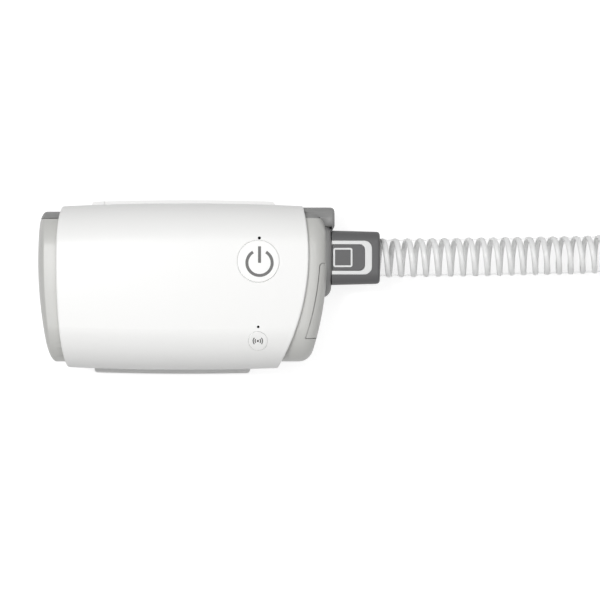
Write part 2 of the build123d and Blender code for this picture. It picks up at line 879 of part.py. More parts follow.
# Main board and what is on it
with BuildPart() as main_board:
    with BuildSketch(Plane.XY.offset(board_bottom)):
        with Locations((sum(board_ends) / 2, 0)):
            RectangleRounded(board_ends[1] - board_ends[0], 2 * board_half_width, board_corner)
        with Locations(*post_places):
            Circle(board_screw_shank, mode=Mode.SUBTRACT)
    extrude(amount=board_thickness)
save(main_board.part, "main_board")

with BuildPart() as board_screws:
    for place in post_places:
        add(rod(place, board_screw_shank, board_top - board_screw_length, board_top))
        add(rod(place, board_screw_head, board_top, board_top + board_screw_head_height))
save(board_screws.part, "board_screws")


def switch_body(place, size, plunger_radius, plunger_bottom):
    """A push switch on the board, with a well for its plunger."""
    with BuildPart() as body:
        add(box_at(place, board_top, size))
        well_bottom = plunger_bottom - power_travel
        add(rod(place, plunger_radius + plunger_gap, well_bottom, far), mode=Mode.SUBTRACT)
    return body.part


power_switch = switch_body(
    power_button_at, power_switch_size, power_plunger_radius, power_plunger_bottom
)
save(power_switch, "power_switch")
wireless_switch = switch_body(
    wireless_button_at, wireless_switch_size, wireless_plunger_radius, wireless_plunger_bottom
)
save(wireless_switch, "wireless_switch")

with BuildPart() as status_lamps:
    for place in (power_lamp_at, wireless_lamp_at):
        add(box_at(place, board_top, lamp_size))
save(status_lamps.part, "status_lamps")

with BuildPart() as board_chips:
    for x, y, length, width, height in (processor, driver_chip, memory_chip):
        add(block((x, x + length), (y, y + width), (board_top, board_top + height)))
save(board_chips.part, "board_chips")

with BuildPart() as radio:
    x, y, length, width, height = radio_module
    add(block((x, x + length), (y, y + width), (board_top, board_top + height)))
    fillet(radio.edges().filter_by(Axis.Z), height / 4)
save(radio.part, "radio_module")

with BuildPart() as board_capacitors:
    for place in capacitor_places:
        add(rod(place, capacitor_radius, board_top, board_top + capacitor_height))
    fillet(board_capacitors.faces().group_by(Axis.Z)[-1].edges(), capacitor_radius / 5)
save(board_capacitors.part, "board_capacitors")

with BuildPart() as board_socket:
    x, y, length, width, height = lead_socket
    add(block((x, x + length), (y, y + width), (board_top, board_top + height)))
save(board_socket.part, "lead_socket")

# Motor lead: up from the blower cover and over into the board's socket
with BuildPart() as motor_lead:
    with BuildLine() as lead_path:
        FilletPolyline(*lead_points, radius=[lead_bend])
    with BuildSketch(Plane(origin=lead_path.line @ 0, z_dir=lead_path.line % 0)):
        Circle(lead_radius)
    sweep()
save(motor_lead.part, "motor_lead")

# Buttons: round caps whose tops follow the casing a little higher up, each with its plunger
lifted_casing = casing_solid.moved(Location((0, 0, power_button_lift)))
for name, place, radius, bottom, plunger_radius, plunger_bottom in (
    (
        "power",
        power_button_at,
        power_button_radius,
        power_button_bottom,
        power_plunger_radius,
        power_plunger_bottom,
    ),
    (
        "wireless",
        wireless_button_at,
        wireless_button_radius,
        wireless_button_bottom,
        wireless_plunger_radius,
        wireless_plunger_bottom,
    ),
):
    with BuildPart() as button:
        add(rod(place, radius, bottom, far))
        add(lifted_casing, mode=Mode.INTERSECT)
        fillet(button.edges().group_by(Axis.Z)[-1], button_rim_rounding)
    save(button.part, f"{name}_button")
    save(rod(place, plunger_radius, plunger_bottom, bottom), f"{name}_plunger")

# Lamp windows: clear rods from the lamps up to the casing's surface
for name, place, radius in (
    ("power", power_lamp_at, power_lamp_radius),
    ("wireless", wireless_lamp_at, wireless_lamp_radius),
):
    with BuildPart() as lamp_window:
        add(rod(place, radius, lamp_window_bottom, far))
        add(casing_solid, mode=Mode.INTERSECT)
    save(lamp_window.part, f"{name}_lamp_window")


def connector_form(inset, drop=0.0):
    """The connector's squarish outside, tapering a little towards the hose."""
    ends = (
        (connector_start, connector_width_start, connector_height_start),
        (connector_end, connector_width_end, connector_height_end),
    )
    with BuildPart() as form:
        for x, width, height in ends:
            with BuildSketch(Plane.YZ.offset(x)):
                with Locations((outlet_y, outlet_z)):
                    RectangleRounded(
                        width - 2 * inset,
                        height - 2 * inset - 2 * drop,
                        connector_corner - inset - drop,
                    )
        loft()
    return form.part


def upper_slot(start, end, width, corner):
    """A tongue-shaped column through the connector's top, rounded towards the hose."""
    with BuildPart() as column:
        with BuildSketch(Plane.XY.offset(outlet_z)) as outline:
            with Locations(((start + end) / 2, outlet_y)):
                Rectangle(end - start, width)
            fillet(outline.vertices().group_by(Axis.X)[-1], corner)
        extrude(amount=far)
    return column.part


def with_mirrored(part):
    """The part and its mirror image below the outlet's axis."""
    return [part, part.mirror(Plane.XY.offset(outlet_z))]


slot_start = connector_start - 1
outer_slot = upper_slot(slot_start, slot_end, slot_width, slot_corner)
inner_slot = upper_slot(
    slot_start, tongue_end + tongue_gap, tongue_width + 2 * tongue_gap, tongue_corner + tongue_gap
)
tongue_column = upper_slot(tongue_start, tongue_end, tongue_width, tongue_corner)
tongue_inside = connector_height_start / 2 - connector_wall
connector_solid = connector_form(0.0)

# Connector sleeve: the dark grip, open at the top and bottom for the tongues
with BuildPart() as connector_sleeve:
    add(connector_solid)
    fillet(connector_sleeve.faces().sort_by(Axis.X)[-1].edges(), connector_end_rounding)
    with BuildSketch(Plane.YZ.offset(connector_start)):
        with Locations((outlet_y, outlet_z)):
            RectangleRounded(
                connector_width_start - 2 * connector_wall,
                connector_height_start - 2 * connector_wall,
                connector_corner - connector_wall,
            )
    inner_length = connector_end - connector_start - connector_end_wall
    extrude(amount=inner_length, mode=Mode.SUBTRACT)
    add(pipe(hose_diameter / 2 + hose_fit, 0, far + connector_end), mode=Mode.SUBTRACT)
    for slot in with_mirrored(outer_slot):
        add(slot, mode=Mode.SUBTRACT)
save(connector_sleeve.part, "connector_sleeve")

# Connector core: the pale inner tube, with a spigot for the socket and a rim in each slot
core_clearance = 0.1
core_width = connector_width_start - 2 * connector_wall - 2 * core_clearance
core_height = connector_height_start - 2 * connector_wall - 2 * core_clearance
core_end = connector_end - connector_end_wall - core_clearance
rim_slot = upper_slot(connector_start, slot_end - fit_gap, slot_width - 2 * fit_gap, slot_corner)
with BuildPart() as slot_rim:
    add(connector_form(0.0, rib_drop))
    add(rim_slot, mode=Mode.INTERSECT)
    add(inner_slot, mode=Mode.SUBTRACT)
    add(below_level(outlet_z + tongue_inside - tongue_pocket), mode=Mode.SUBTRACT)

with BuildPart() as tongue_pocket_room:
    add(inner_slot)
    add(below_level(outlet_z + tongue_inside - tongue_pocket), mode=Mode.SUBTRACT)

with BuildPart() as connector_core:
    with BuildSketch(Plane.YZ.offset(connector_start)):
        with Locations((outlet_y, outlet_z)):
            RectangleRounded(core_width, core_height, connector_corner - connector_wall)
    extrude(amount=core_end - connector_start)
    for pocket in with_mirrored(tongue_pocket_room.part):
        add(pocket, mode=Mode.SUBTRACT)
    for rim in with_mirrored(slot_rim.part):
        add(rim)
    add(pipe(spigot_radius, spigot_start, connector_start))
    add(pipe(airway_radius, 0, hose_start), mode=Mode.SUBTRACT)
    add(pipe(hose_diameter / 2 + hose_fit, hose_start, far), mode=Mode.SUBTRACT)
    groove_width, groove_floor = ring_groove
    groove_start = ring_middle - groove_width / 2
    groove = pipe(spigot_radius + 1, groove_start, groove_start + groove_width, groove_floor)
    add(groove, mode=Mode.SUBTRACT)
save(connector_core.part, "connector_core")

with BuildPart() as connector_seal:
    with BuildSketch(outlet_line):
        with Locations((ring_middle, ring_centre_radius)):
            Circle(ring_thickness_radius)
    revolve(axis=outlet_axis)
save(connector_seal.part, "connector_seal")

# Latch tongues: press both to free the connector; each has a square groove in its top
with BuildPart() as square_groove:
    with BuildSketch(Plane.XY.offset(outlet_z)):
        with Locations((square_middle, outlet_y)):
            RectangleRounded(square_size, square_size, square_corner)
            inner_square = square_size - 2 * square_line
            RectangleRounded(inner_square, inner_square, square_corner / 2, mode=Mode.SUBTRACT)
    extrude(amount=far)
    add(connector_form(square_depth), mode=Mode.SUBTRACT)

with BuildPart() as latch_tongue:
    add(connector_solid)
    add(tongue_column, mode=Mode.INTERSECT)
    add(below_level(outlet_z + tongue_inside), mode=Mode.SUBTRACT)
    add(square_groove.part, mode=Mode.SUBTRACT)
upper_tongue, lower_tongue = with_mirrored(latch_tongue.part)
save(upper_tongue, "latch_tongue_top")
save(lower_tongue, "latch_tongue_bottom")


def bend_radii(points):
    """Each corner's radius: 0.45 of its shorter run over the tangent of half its turn."""
    radii = []
    for before, corner, after in zip(points, points[1:], points[2:]):
        run_in = Vector(*corner) - Vector(*before)
        run_out = Vector(*after) - Vector(*corner)
        half_turn = math.radians(run_in.get_angle(run_out)) / 2
        radii.append(bend_share * min(run_in.length, run_out.length) / math.tan(half_turn))
    return radii


def hose_piece(points, radii, bore=0.0):
    """A stretch of hose along straight runs and tangent arcs."""
    with BuildPart() as stretch:
        with BuildLine() as path:
            FilletPolyline(*points, radius=radii)
        with BuildSketch(Plane(origin=path.line @ 0, z_dir=path.line % 0)):
            Circle(hose_diameter / 2)
            if bore:
                Circle(bore, mode=Mode.SUBTRACT)
        sweep()
    length = path.wire().length
    return stretch.part, length


# The free hose, up to a joint in the middle of a run; the coil's solid takes over there
all_radii = bend_radii(hose_points)
joint_before, joint_after = hose_points[hose_joint_run], hose_points[hose_joint_run + 1]
hose_joint = tuple((a + b) / 2 for a, b in zip(joint_before, joint_after))
free_points = hose_points[: hose_joint_run + 1] + (hose_joint,)
air_hose, free_length = hose_piece(
    free_points, bend_radii(free_points), hose_diameter / 2 - hose_wall
)
save(air_hose, "air_hose")

# The coil: two turns side by side on the table, and most of a turn lying on them
coil_x = hose_points[-1][0]
coil_y = hose_points[-1][1] - coil_outer_turn
coil_z = hose_points[-1][2]
coil_inner_turn = coil_outer_turn - coil_turn_pitch
coil_plane = Plane(origin=(coil_x, coil_y, 0), x_dir=(1, 0, 0), z_dir=(0, -1, 0))
coil_axis = Axis((coil_x, coil_y, 0), (0, 0, 1))


def eased(value, span):
    """0 before a span and 1 after it, with a smooth step between."""
    share = min(max((value - span[0]) / (span[1] - span[0]), 0), 1)
    return share * share * (3 - 2 * share)


upper_points = []
for step in range(coil_upper_runs + 1):
    angle = coil_climb[0] + (coil_end_angle - coil_climb[0]) * step / coil_upper_runs
    climb = eased(angle, coil_climb)
    last_rise = eased(angle, coil_last_rise)
    radius = coil_inner_turn + climb * coil_turn_pitch / 2
    turned = math.radians(angle)
    upper_points.append(
        (
            coil_x + radius * math.sin(turned),
            coil_y + radius * math.cos(turned),
            coil_z
            + climb * (coil_upper_height - coil_z)
            + last_rise * (coil_end_height - coil_upper_height),
        )
    )
coil_end = (coil_x - coil_end_run, upper_points[-1][1], coil_end_height)
upper_points.append(coil_end)
upper_turn, upper_length = hose_piece(upper_points, bend_radii(upper_points))
entry_points = (hose_joint,) + hose_points[hose_joint_run + 1 :]
entry, entry_length = hose_piece(entry_points, bend_radii(entry_points))

with BuildPart() as hose_coil:
    with BuildSketch(coil_plane):
        with Locations(((coil_outer_turn + coil_inner_turn) / 2, coil_z)):
            coil_height = hose_diameter + 2 * coil_slack
            SlotOverall(coil_turn_pitch + coil_height, coil_height)
    revolve(axis=coil_axis)
    add(upper_turn)
    add(entry)
save(hose_coil.part, "hose_coil")

# Hose cuff and mask swivel, lying on the coil and pointing towards -X
end_plane = Plane(origin=coil_end, x_dir=(0, 1, 0), z_dir=(-1, 0, 0))
with BuildPart() as hose_cuff:
    with BuildSketch(end_plane):
        Circle(cuff_waist_radius)
    with BuildSketch(end_plane.offset(cuff_length)):
        Circle(cuff_radius)
    loft()
    with BuildSketch(end_plane.offset(cuff_length)):
        Circle(cuff_spigot_radius)
    extrude(amount=cuff_spigot_length)
    with BuildSketch(end_plane):
        Circle(airway_radius)
    extrude(amount=far, mode=Mode.SUBTRACT)
save(hose_cuff.part, "hose_cuff")

swivel_plane = end_plane.offset(cuff_length + moving_gap)
with BuildPart() as mask_swivel:
    with BuildSketch(swivel_plane):
        Circle(swivel_radius)
        Circle(cuff_spigot_radius + running_gap, mode=Mode.SUBTRACT)
    extrude(amount=swivel_length)
    with BuildSketch(swivel_plane.offset(swivel_length - swivel_bore_depth)):
        Circle(swivel_bore)
    extrude(amount=far, mode=Mode.SUBTRACT)
    mouth_face = mask_swivel.faces().sort_by(Axis.X)[0]
    chamfer(mouth_face.edges().sort_by(SortBy.LENGTH)[-1], end_chamfer)
save(mask_swivel.part, "mask_swivel")

print("bend radii, mm:", [round(radius) for radius in all_radii + bend_radii(upper_points)])
print("least radius allowed, mm:", least_bend)
section_area = math.pi * (hose_diameter**2 - (hose_diameter - 2 * hose_wall) ** 2) / 4
print("air hose volume / (section x length):", air_hose.volume / (section_area * free_length))
floor_turns = math.radians(360) * coil_outer_turn + math.radians(coil_climb[0] - 360) * coil_inner_turn
print("hose length, mm:", round(free_length + entry_length + floor_turns + upper_length))
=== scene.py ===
import json
import math

import bmesh
import bpy
from mathutils import Matrix, Vector
from mathutils.bvhtree import BVHTree


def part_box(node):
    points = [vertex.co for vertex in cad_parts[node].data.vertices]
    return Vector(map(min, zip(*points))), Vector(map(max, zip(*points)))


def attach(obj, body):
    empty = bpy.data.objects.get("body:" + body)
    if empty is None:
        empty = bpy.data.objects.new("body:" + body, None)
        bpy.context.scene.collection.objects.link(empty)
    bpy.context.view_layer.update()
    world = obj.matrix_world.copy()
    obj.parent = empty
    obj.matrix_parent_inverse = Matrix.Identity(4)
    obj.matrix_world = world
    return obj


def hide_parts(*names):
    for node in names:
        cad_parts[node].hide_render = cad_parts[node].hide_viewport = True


# A travel cpap machine with its air hose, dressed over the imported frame.
# Metres. +X runs along the hose, +Y to the back, +Z up.

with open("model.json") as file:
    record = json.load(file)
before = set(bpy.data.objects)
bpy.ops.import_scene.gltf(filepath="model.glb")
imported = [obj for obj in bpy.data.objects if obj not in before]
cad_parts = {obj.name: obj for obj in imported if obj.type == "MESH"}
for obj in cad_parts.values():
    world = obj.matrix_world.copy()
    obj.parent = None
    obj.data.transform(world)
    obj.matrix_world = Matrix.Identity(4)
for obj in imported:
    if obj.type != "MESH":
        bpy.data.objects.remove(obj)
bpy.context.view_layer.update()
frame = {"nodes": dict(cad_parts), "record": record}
nodes = frame["nodes"]
scene = bpy.context.scene
scene.view_settings.view_transform = "Standard"
clearLayers = 32  # walls of the clear hose that one ray may pass
scene.cycles.transparent_max_bounces = clearLayers


# Camera, straight above

view = {
    "place": (0.0536, -0.00633, 0.900),
    "lens": 110.73,  # millimetres, as is the sensor
    "sensor": 36,
    "near": 0.01,
    "far": 50,
}

cameraData = bpy.data.cameras.new("camera")
cameraData.lens = view["lens"]
cameraData.sensor_width = view["sensor"]
cameraData.clip_start = view["near"]
cameraData.clip_end = view["far"]
camera = bpy.data.objects.new("camera", cameraData)
camera.location = view["place"]
scene.collection.objects.link(camera)
scene.camera = camera
print("camera made")


# Hose: a clear film over a white spiral bead

hose = {
    "diameter": 0.019,
    "length": 1.745,
    "exit": (0.0910, 0.0135, 0.0260),
    "filmRadius": 0.00905,
    "filmWall": 0.0004,
    "filmSag": 0.00035,
    "beadRadius": 0.00935,  # outside of the bead
    "beadWidth": 0.0028,
    "beadThickness": 0.0018,
    "beadRoundness": 2,
    "pitch": 0.00588,
    "firstTurn": 0.0085,
    "stepsPerTurn": 24,
    "sidesOfFilm": 24,
    "ringsPerTurn": 5,
    "lean": 0.19,  # the turns lean back where the hose starts to drop
    "leanStarts": (0.02, 0.08),
    "leanEnds": (0.13, 0.22),
}
hoseRoute = [
    (0.0842, 0.0135, 0.0260),
    (0.1200, 0.0138, 0.0260),
    (0.1590, 0.0146, 0.0210),
    (0.1980, 0.0154, 0.0130),
    (0.2360, 0.0190, 0.0097),
    (0.2745, 0.0265, 0.0097),
    (0.3135, 0.0315, 0.0097),
]
coil = {
    "centre": (0.3135, -0.0720),
    "floorHeight": 0.0097,
    "outerTurn": 0.1035,
    "innerTurn": 0.0845,
    "upperTurn": 0.0940,
    "strandGap": 0.01905,
    "shift": (265, 335),  # degrees clockwise from where the hose meets the coil
    "climb": (560, 625),
    "lastRise": (820, 885),
    "endHeight": 0.0328,
    "endAngle": 900,
    "endX": 0.2935,
    "step": 15,
}


def eased(value, span):
    share = min(1.0, max(0.0, (value - span[0]) / (span[1] - span[0])))
    return share * share * (3 - 2 * share)


def floorTurn(angle):
    return coil["outerTurn"] + (coil["innerTurn"] - coil["outerTurn"]) * eased(angle, coil["shift"])


def coilPoint(angle):
    # Two turns side by side on the table, then a turn in the groove over them
    gap = coil["strandGap"]
    if angle <= coil["climb"][1]:
        lean = math.acos((coil["outerTurn"] - coil["upperTurn"]) / gap) * eased(angle, coil["climb"])
        radius, height = floorTurn(angle), coil["floorHeight"]
        if lean > 0:
            radius = coil["outerTurn"] - gap * math.cos(lean)
            height += gap * math.sin(lean)
    else:
        radius = coil["upperTurn"]
        below = floorTurn(angle - 360)
        height = coil["floorHeight"] + math.sqrt(gap**2 - (radius - below) ** 2)
        height += (coil["endHeight"] - height) * eased(angle, coil["lastRise"])
    if angle < coil["endAngle"]:
        radius /= math.cos(math.radians(coil["step"] / 2))
    turned = math.radians(angle)
    centreX, centreY = coil["centre"]
    return (centreX + radius * math.sin(turned), centreY + radius * math.cos(turned), height)


def wound():
    points = [coilPoint(angle) for angle in range(coil["step"], coil["endAngle"] + 1, coil["step"])]
    return points + [(coil["endX"], points[-1][1], coil["endHeight"])]


def curveOf(name, points, kind="NURBS"):
    data = bpy.data.curves.new(name, "CURVE")
    data.dimensions = "3D"
    spline = data.splines.new(kind)
    spline.points.add(len(points) - 1)
    for point, place in zip(spline.points, points):
        point.co = (*place, 1)
    if kind == "NURBS":
        spline.order_u = 3
        spline.use_endpoint_u = True
        spline.resolution_u = 12
    return bpy.data.objects.new(name, data)


def meshOf(name, source):
    scene.collection.objects.link(source)
    bpy.context.view_layer.update()
    evaluated = source.evaluated_get(bpy.context.evaluated_depsgraph_get())
    mesh = bpy.data.meshes.new_from_object(evaluated)
    bpy.data.objects.remove(source)
    mesh.name = name
    return mesh


def linked(name, mesh):
    made = bpy.data.objects.new(name, mesh)
    scene.collection.objects.link(made)
    return made


class Line:
    # The hose's own line, with a frame that turns as little as it can
    def __init__(self, points):
        self.points = points
        self.lengths = [0.0]
        for before, after in zip(points, points[1:]):
            self.lengths.append(self.lengths[-1] + (after - before).length)
        self.frames = []
        side = Vector((0, 1, 0))
        for index in range(len(points)):
            ahead = (points[min(index + 1, len(points) - 1)] - points[max(index - 1, 0)]).normalized()
            side = (side - ahead * side.dot(ahead)).normalized()
            self.frames.append((ahead, side, ahead.cross(side)))
        self.length = self.lengths[-1]
        self.index = 0

    def at(self, distance):
        distance = min(max(distance, 0.0), self.length)
        if distance < self.lengths[self.index]:
            self.index = 0
        while self.index < len(self.points) - 2 and self.lengths[self.index + 1] < distance:
            self.index += 1
        span = self.lengths[self.index + 1] - self.lengths[self.index]
        share = (distance - self.lengths[self.index]) / span
        first, second = self.frames[self.index], self.frames[self.index + 1]
        turned = [a.lerp(b, share).normalized() for a, b in zip(first, second)]
        return self.points[self.index].lerp(self.points[self.index + 1], share), turned


def phase(distance):
    return 2 * math.pi * (distance - hose["firstTurn"]) / hose["pitch"]


routeMesh = meshOf("hoseRoute", curveOf("hoseRoute", hoseRoute + wound()))
hoseLine = Line([vertex.co.copy() for vertex in routeMesh.vertices])
print("hose line", round(hoseLine.length, 4))


def makeBead():
    # One long strand wound round the line, then flattened against the film
    middle = hose["beadRadius"] - hose["beadThickness"] / 2
    count = int(hoseLine.length / hose["pitch"] * hose["stepsPerTurn"])
    places = []
    for step in range(count + 1):
        distance = hoseLine.length * step / count
        centre, (ahead, side, up) = hoseLine.at(distance)
        outwards = side * math.cos(phase(distance)) + up * math.sin(phase(distance))
        lean = eased(distance, hose["leanStarts"]) * (1 - eased(distance, hose["leanEnds"])) * hose["lean"]
        places.append((centre + (outwards - ahead * outwards.dot(up) * lean) * middle, outwards))
    strand = curveOf("hoseBead", [place for place, outwards in places], "POLY")
    strand.data.bevel_depth = hose["beadWidth"] / 2
    strand.data.bevel_resolution = hose["beadRoundness"]
    mesh = meshOf("hoseBead", strand)
    sides = len(mesh.vertices) // len(places)
    flat = hose["beadThickness"] / hose["beadWidth"]
    bm = bmesh.new()
    bm.from_mesh(mesh)
    for vertex in bm.verts:
        place, outwards = places[vertex.index // sides]
        vertex.co -= outwards * ((vertex.co - place).dot(outwards) * (1 - flat))
    bmesh.ops.holes_fill(bm, edges=bm.edges[:], sides=sides)
    bm.to_mesh(mesh)
    bm.free()
    mesh.shade_smooth()
    return linked("hose_bead", mesh)


def makeFilm():
    # A tube that sinks a little between the bead's turns
    count = int(hoseLine.length / hose["pitch"] * hose["ringsPerTurn"])
    spots = [hoseLine.at(hoseLine.length * ring / count) for ring in range(count + 1)]
    tube = curveOf("hoseFilm", [centre for centre, turned in spots], "POLY")
    tube.data.bevel_depth = hose["filmRadius"]
    tube.data.bevel_resolution = (hose["sidesOfFilm"] - 4) // 2  # zero gives four sides, each step two more
    mesh = meshOf("hoseFilm", tube)
    sides = len(mesh.vertices) // len(spots)
    for vertex in mesh.vertices:
        ring = vertex.index // sides
        centre, (ahead, side, up) = spots[ring]
        off = vertex.co - centre
        turned = math.atan2(off.dot(up), off.dot(side))
        sag = (1 - math.cos(phase(hoseLine.length * ring / count) - turned)) / 2
        vertex.co = centre + off * (1 - sag * hose["filmSag"] / hose["filmRadius"])
    mesh.shade_smooth()
    film = linked("hose_film", mesh)
    wall = film.modifiers.new("wall", "SOLIDIFY")
    wall.thickness = hose["filmWall"]
    wall.offset = -1
    return film


hoseBead = makeBead()
hoseFilm = makeFilm()
print("hose made", len(hoseBead.data.polygons), len(hoseFilm.data.polygons))


# Shader writing

class Wire:
    # One output socket. Sums, products and comparisons of wires add Math nodes to their finish.
    def __init__(self, finish, socket):
        self.finish = finish
        self.socket = socket

    def maths(self, operation, *values):
        return self.finish.node("ShaderNodeMath", {"operation": operation}, dict(enumerate(values)))

    def __add__(self, other):
        return self.maths("ADD", self, other)

    def __sub__(self, other):
        return self.maths("SUBTRACT", self, other)

    def __rsub__(self, other):
        return self.maths("SUBTRACT", other, self)

    def __mul__(self, other):
        return self.maths("MULTIPLY", self, other)

    def __pow__(self, other):
        return self.maths("POWER", self, other)

    def __rpow__(self, other):
        return self.maths("POWER", other, self)

    def __lt__(self, other):
        return self.maths("LESS_THAN", self, other)

    def __gt__(self, other):
        return self.maths("GREATER_THAN", self, other)

    __radd__ = __add__
    __rmul__ = __mul__


class Finish:
    # The nodes of one material
    def __init__(self, name):
        self.material = bpy.data.materials.new(name)
        self.material.use_nodes = True
        self.tree = self.material.node_tree
        self.tree.nodes.clear()

    def node(self, kind, settings=None, values=None, output=0):
        made = self.tree.nodes.new(kind)
        for key, value in (settings or {}).items():
            if key == "stops":
                self.setStops(made.color_ramp, value)
            else:
                setattr(made, key, value)
        for key, value in (values or {}).items():
            socket = made.inputs[key]
            if isinstance(value, Wire):
                self.tree.links.new(value.socket, socket)
            elif socket.type == "RGBA" and len(value) == 3:
                socket.default_value = (*value, 1)
            else:
                socket.default_value = value
        return Wire(self, made.outputs[output]) if len(made.outputs) else None

    def setStops(self, ramp, stops):
        while len(ramp.elements) < len(stops):
            ramp.elements.new(0.5)
        for element, (position, shade) in zip(ramp.elements, stops):
            element.position = position
            element.color = (shade, shade, shade, 1)

    def place(self, scale=(1, 1, 1), turn=(0, 0, 0)):
        at = self.node("ShaderNodeTexCoord", output="Object")
        if scale == (1, 1, 1) and turn == (0, 0, 0):
            return at
        return self.node("ShaderNodeMapping", {}, {"Vector": at, "Scale": scale, "Rotation": turn})

    def noise(self, scale, detail=2.0, roughness=0.5, at=None):
        values = {"Vector": at or self.place(), "Scale": scale, "Detail": detail, "Roughness": roughness}
        return self.node("ShaderNodeTexNoise", {}, values)

    def cells(self, scale, feature="F1"):
        values = {"Vector": self.place(), "Scale": scale}
        return self.node("ShaderNodeTexVoronoi", {"feature": feature}, values)

    def ramp(self, value, stops):
        return self.node("ShaderNodeValToRGB", {"stops": stops}, {"Fac": value})

    def mix(self, amount, first, second):
        return self.node("ShaderNodeMix", {"data_type": "RGBA"}, {0: amount, 6: first, 7: second}, output=2)

    def bump(self, height, depth, strength=1.0, under=None):
        values = {"Height": height, "Distance": depth, "Strength": strength}
        if under is not None:
            values["Normal"] = under
        return self.node("ShaderNodeBump", {}, values)

    def principled(self, **values):
        named = {key.replace("_", " "): value for key, value in values.items()}
        return self.node("ShaderNodeBsdfPrincipled", {}, named)

    def surface(self, shader):
        self.node("ShaderNodeOutputMaterial", {}, {"Surface": shader})
        return self.material


def toned(colour, factor):
    return tuple(min(1.0, channel * factor) for channel in colour)


# Finishes

casingPlastic = {
    "colour": (0.925, 0.925, 0.915),
    "roughness": 0.46,
    "grain": 0.00025,  # metres between the grains of the mould's texture
    "grainDepth": 0.000006,
    "drift": 0.015,  # how much the tone drifts over the piece
    "coat": 0.12,
    "specular": 0.5,
}
# painted shade: the rails are the casing's plastic, coloured darker to stand in for the shade they lie in
# beside the casing
railPlasticPaintedShade = {**casingPlastic, "colour": (0.85, 0.85, 0.845), "coat": 0.0, "specular": 0.3}
capPlastic = {
    "colour": (0.575, 0.575, 0.555),
    "roughness": 0.42,
    "grain": 0.0003,
    "grainDepth": 0.00001,
    "drift": 0.03,
    "coat": 0.15,
    "specular": 0.5,
}
spinePlastic = {
    "colour": (0.285, 0.285, 0.283),
    "roughness": 0.5,
    "grain": 0.00035,
    "grainDepth": 0.000014,
    "drift": 0.04,
    "coat": 0.0,
    "specular": 0.35,
}
buttonPlastic = {
    "colour": (0.93, 0.93, 0.92),
    "roughness": 0.3,
    "grain": 0.0002,
    "grainDepth": 0.000004,
    "drift": 0.01,
    "coat": 0.15,
    "specular": 0.5,
}
connectorPlastic = {
    "colour": (0.128, 0.128, 0.130),
    "roughness": 0.46,
    "grain": 0.0003,
    "grainDepth": 0.000012,
    "drift": 0.05,
    "coat": 0.05,
    "specular": 0.22,
}
palePlastic = {
    "colour": (0.76, 0.765, 0.76),
    "roughness": 0.36,
    "grain": 0.0003,
    "grainDepth": 0.000006,
    "drift": 0.02,
    "coat": 0.1,
    "specular": 0.4,
}
innerPlastic = {
    "colour": (0.72, 0.72, 0.70),
    "roughness": 0.55,
    "grain": 0.0006,
    "grainDepth": 0.00002,
    "drift": 0.04,
    "coat": 0.0,
    "specular": 0.5,
}
blackPlastic = {
    "colour": (0.03, 0.03, 0.032),
    "roughness": 0.42,
    "grain": 0.0004,
    "grainDepth": 0.000012,
    "drift": 0.15,
    "coat": 0.0,
    "specular": 0.5,
}
wear = {
    # the same on every moulded plastic
    "driftScale": 28,
    "dustScale": 900,
    "dustSize": 0.09,
    "dustTint": 0.05,
    "dustTone": 0.8,
    "grainRoughness": 0.06,  # what each adds at most
    "driftRoughness": 0.08,
    "dustRoughness": 0.1,
    "usualRoughness": 0.07,  # what the grain and the drift add on average
    "ripple": 0.00002,
}


def mouldedPlastic(name, look):
    # Grain from the mould, a slow drift in tone, and fine dust that dulls the gloss
    made = Finish(name)
    grain = made.noise(1 / look["grain"], detail=1)
    drift = made.noise(wear["driftScale"], detail=2)
    dust = made.cells(wear["dustScale"]) < wear["dustSize"]
    darker, paler = toned(look["colour"], 1 - look["drift"]), toned(look["colour"], 1 + look["drift"] / 2)
    colour = made.mix(drift, darker, paler)
    colour = made.mix(dust * wear["dustTint"], colour, toned(look["colour"], wear["dustTone"]))
    roughness = grain * wear["grainRoughness"] + drift * wear["driftRoughness"] + dust * wear["dustRoughness"]
    roughness = roughness + (look["roughness"] - wear["usualRoughness"])
    ripple = made.bump(drift, wear["ripple"], 0.4)
    return made.surface(
        made.principled(
            Base_Color=colour,
            Roughness=roughness,
            Specular_IOR_Level=look["specular"],
            Coat_Weight=look["coat"],
            Coat_Roughness=0.25,
            Normal=made.bump(grain, look["grainDepth"], 0.8, under=ripple),
        )
    )


rubber = {
    "feet": (0.42, 0.42, 0.41),
    "cuff": (0.50, 0.51, 0.52),
    "soft": (0.72, 0.72, 0.70),
    "roughness": 0.62,
    "grain": 0.0002,
    "grainDepth": 0.00002,
    "bloomScale": 160,
}


def mouldedRubber(name, colour):
    # A bloom of pale specks over a fine grain
    made = Finish(name)
    grain = made.noise(1 / rubber["grain"], detail=3)
    bloom = made.noise(rubber["bloomScale"], detail=5, roughness=0.7)
    tone = made.mix(bloom, toned(colour, 0.92), toned(colour, 1.08))
    return made.surface(
        made.principled(
            Base_Color=tone,
            Roughness=bloom * 0.2 + (rubber["roughness"] - 0.1),
            Specular_IOR_Level=0.35,
            Normal=made.bump(grain, rubber["grainDepth"], 0.7),
        )
    )


metal = {
    "steel": (0.60, 0.60, 0.61),
    "can": (0.78, 0.79, 0.80),
    "contact": (0.80, 0.70, 0.43),
    "magnet": (0.15, 0.15, 0.16),
    "brush": 6000,
    "brushDepth": 0.000004,
    "patches": 220,
}


def brushedMetal(name, colour, roughness, along=(1, 0.04, 1)):
    # Fine parallel scratches and a few duller patches
    made = Finish(name)
    scratches = made.noise(metal["brush"], detail=2, at=made.place(scale=along))
    patches = made.noise(metal["patches"], detail=4)
    tone = made.mix(patches, toned(colour, 0.88), toned(colour, 1.06))
    return made.surface(
        made.principled(
            Base_Color=tone,
            Metallic=1.0,
            Roughness=scratches * 0.14 + patches * 0.08 + roughness,
            Normal=made.bump(scratches, metal["brushDepth"], 0.6),
        )
    )


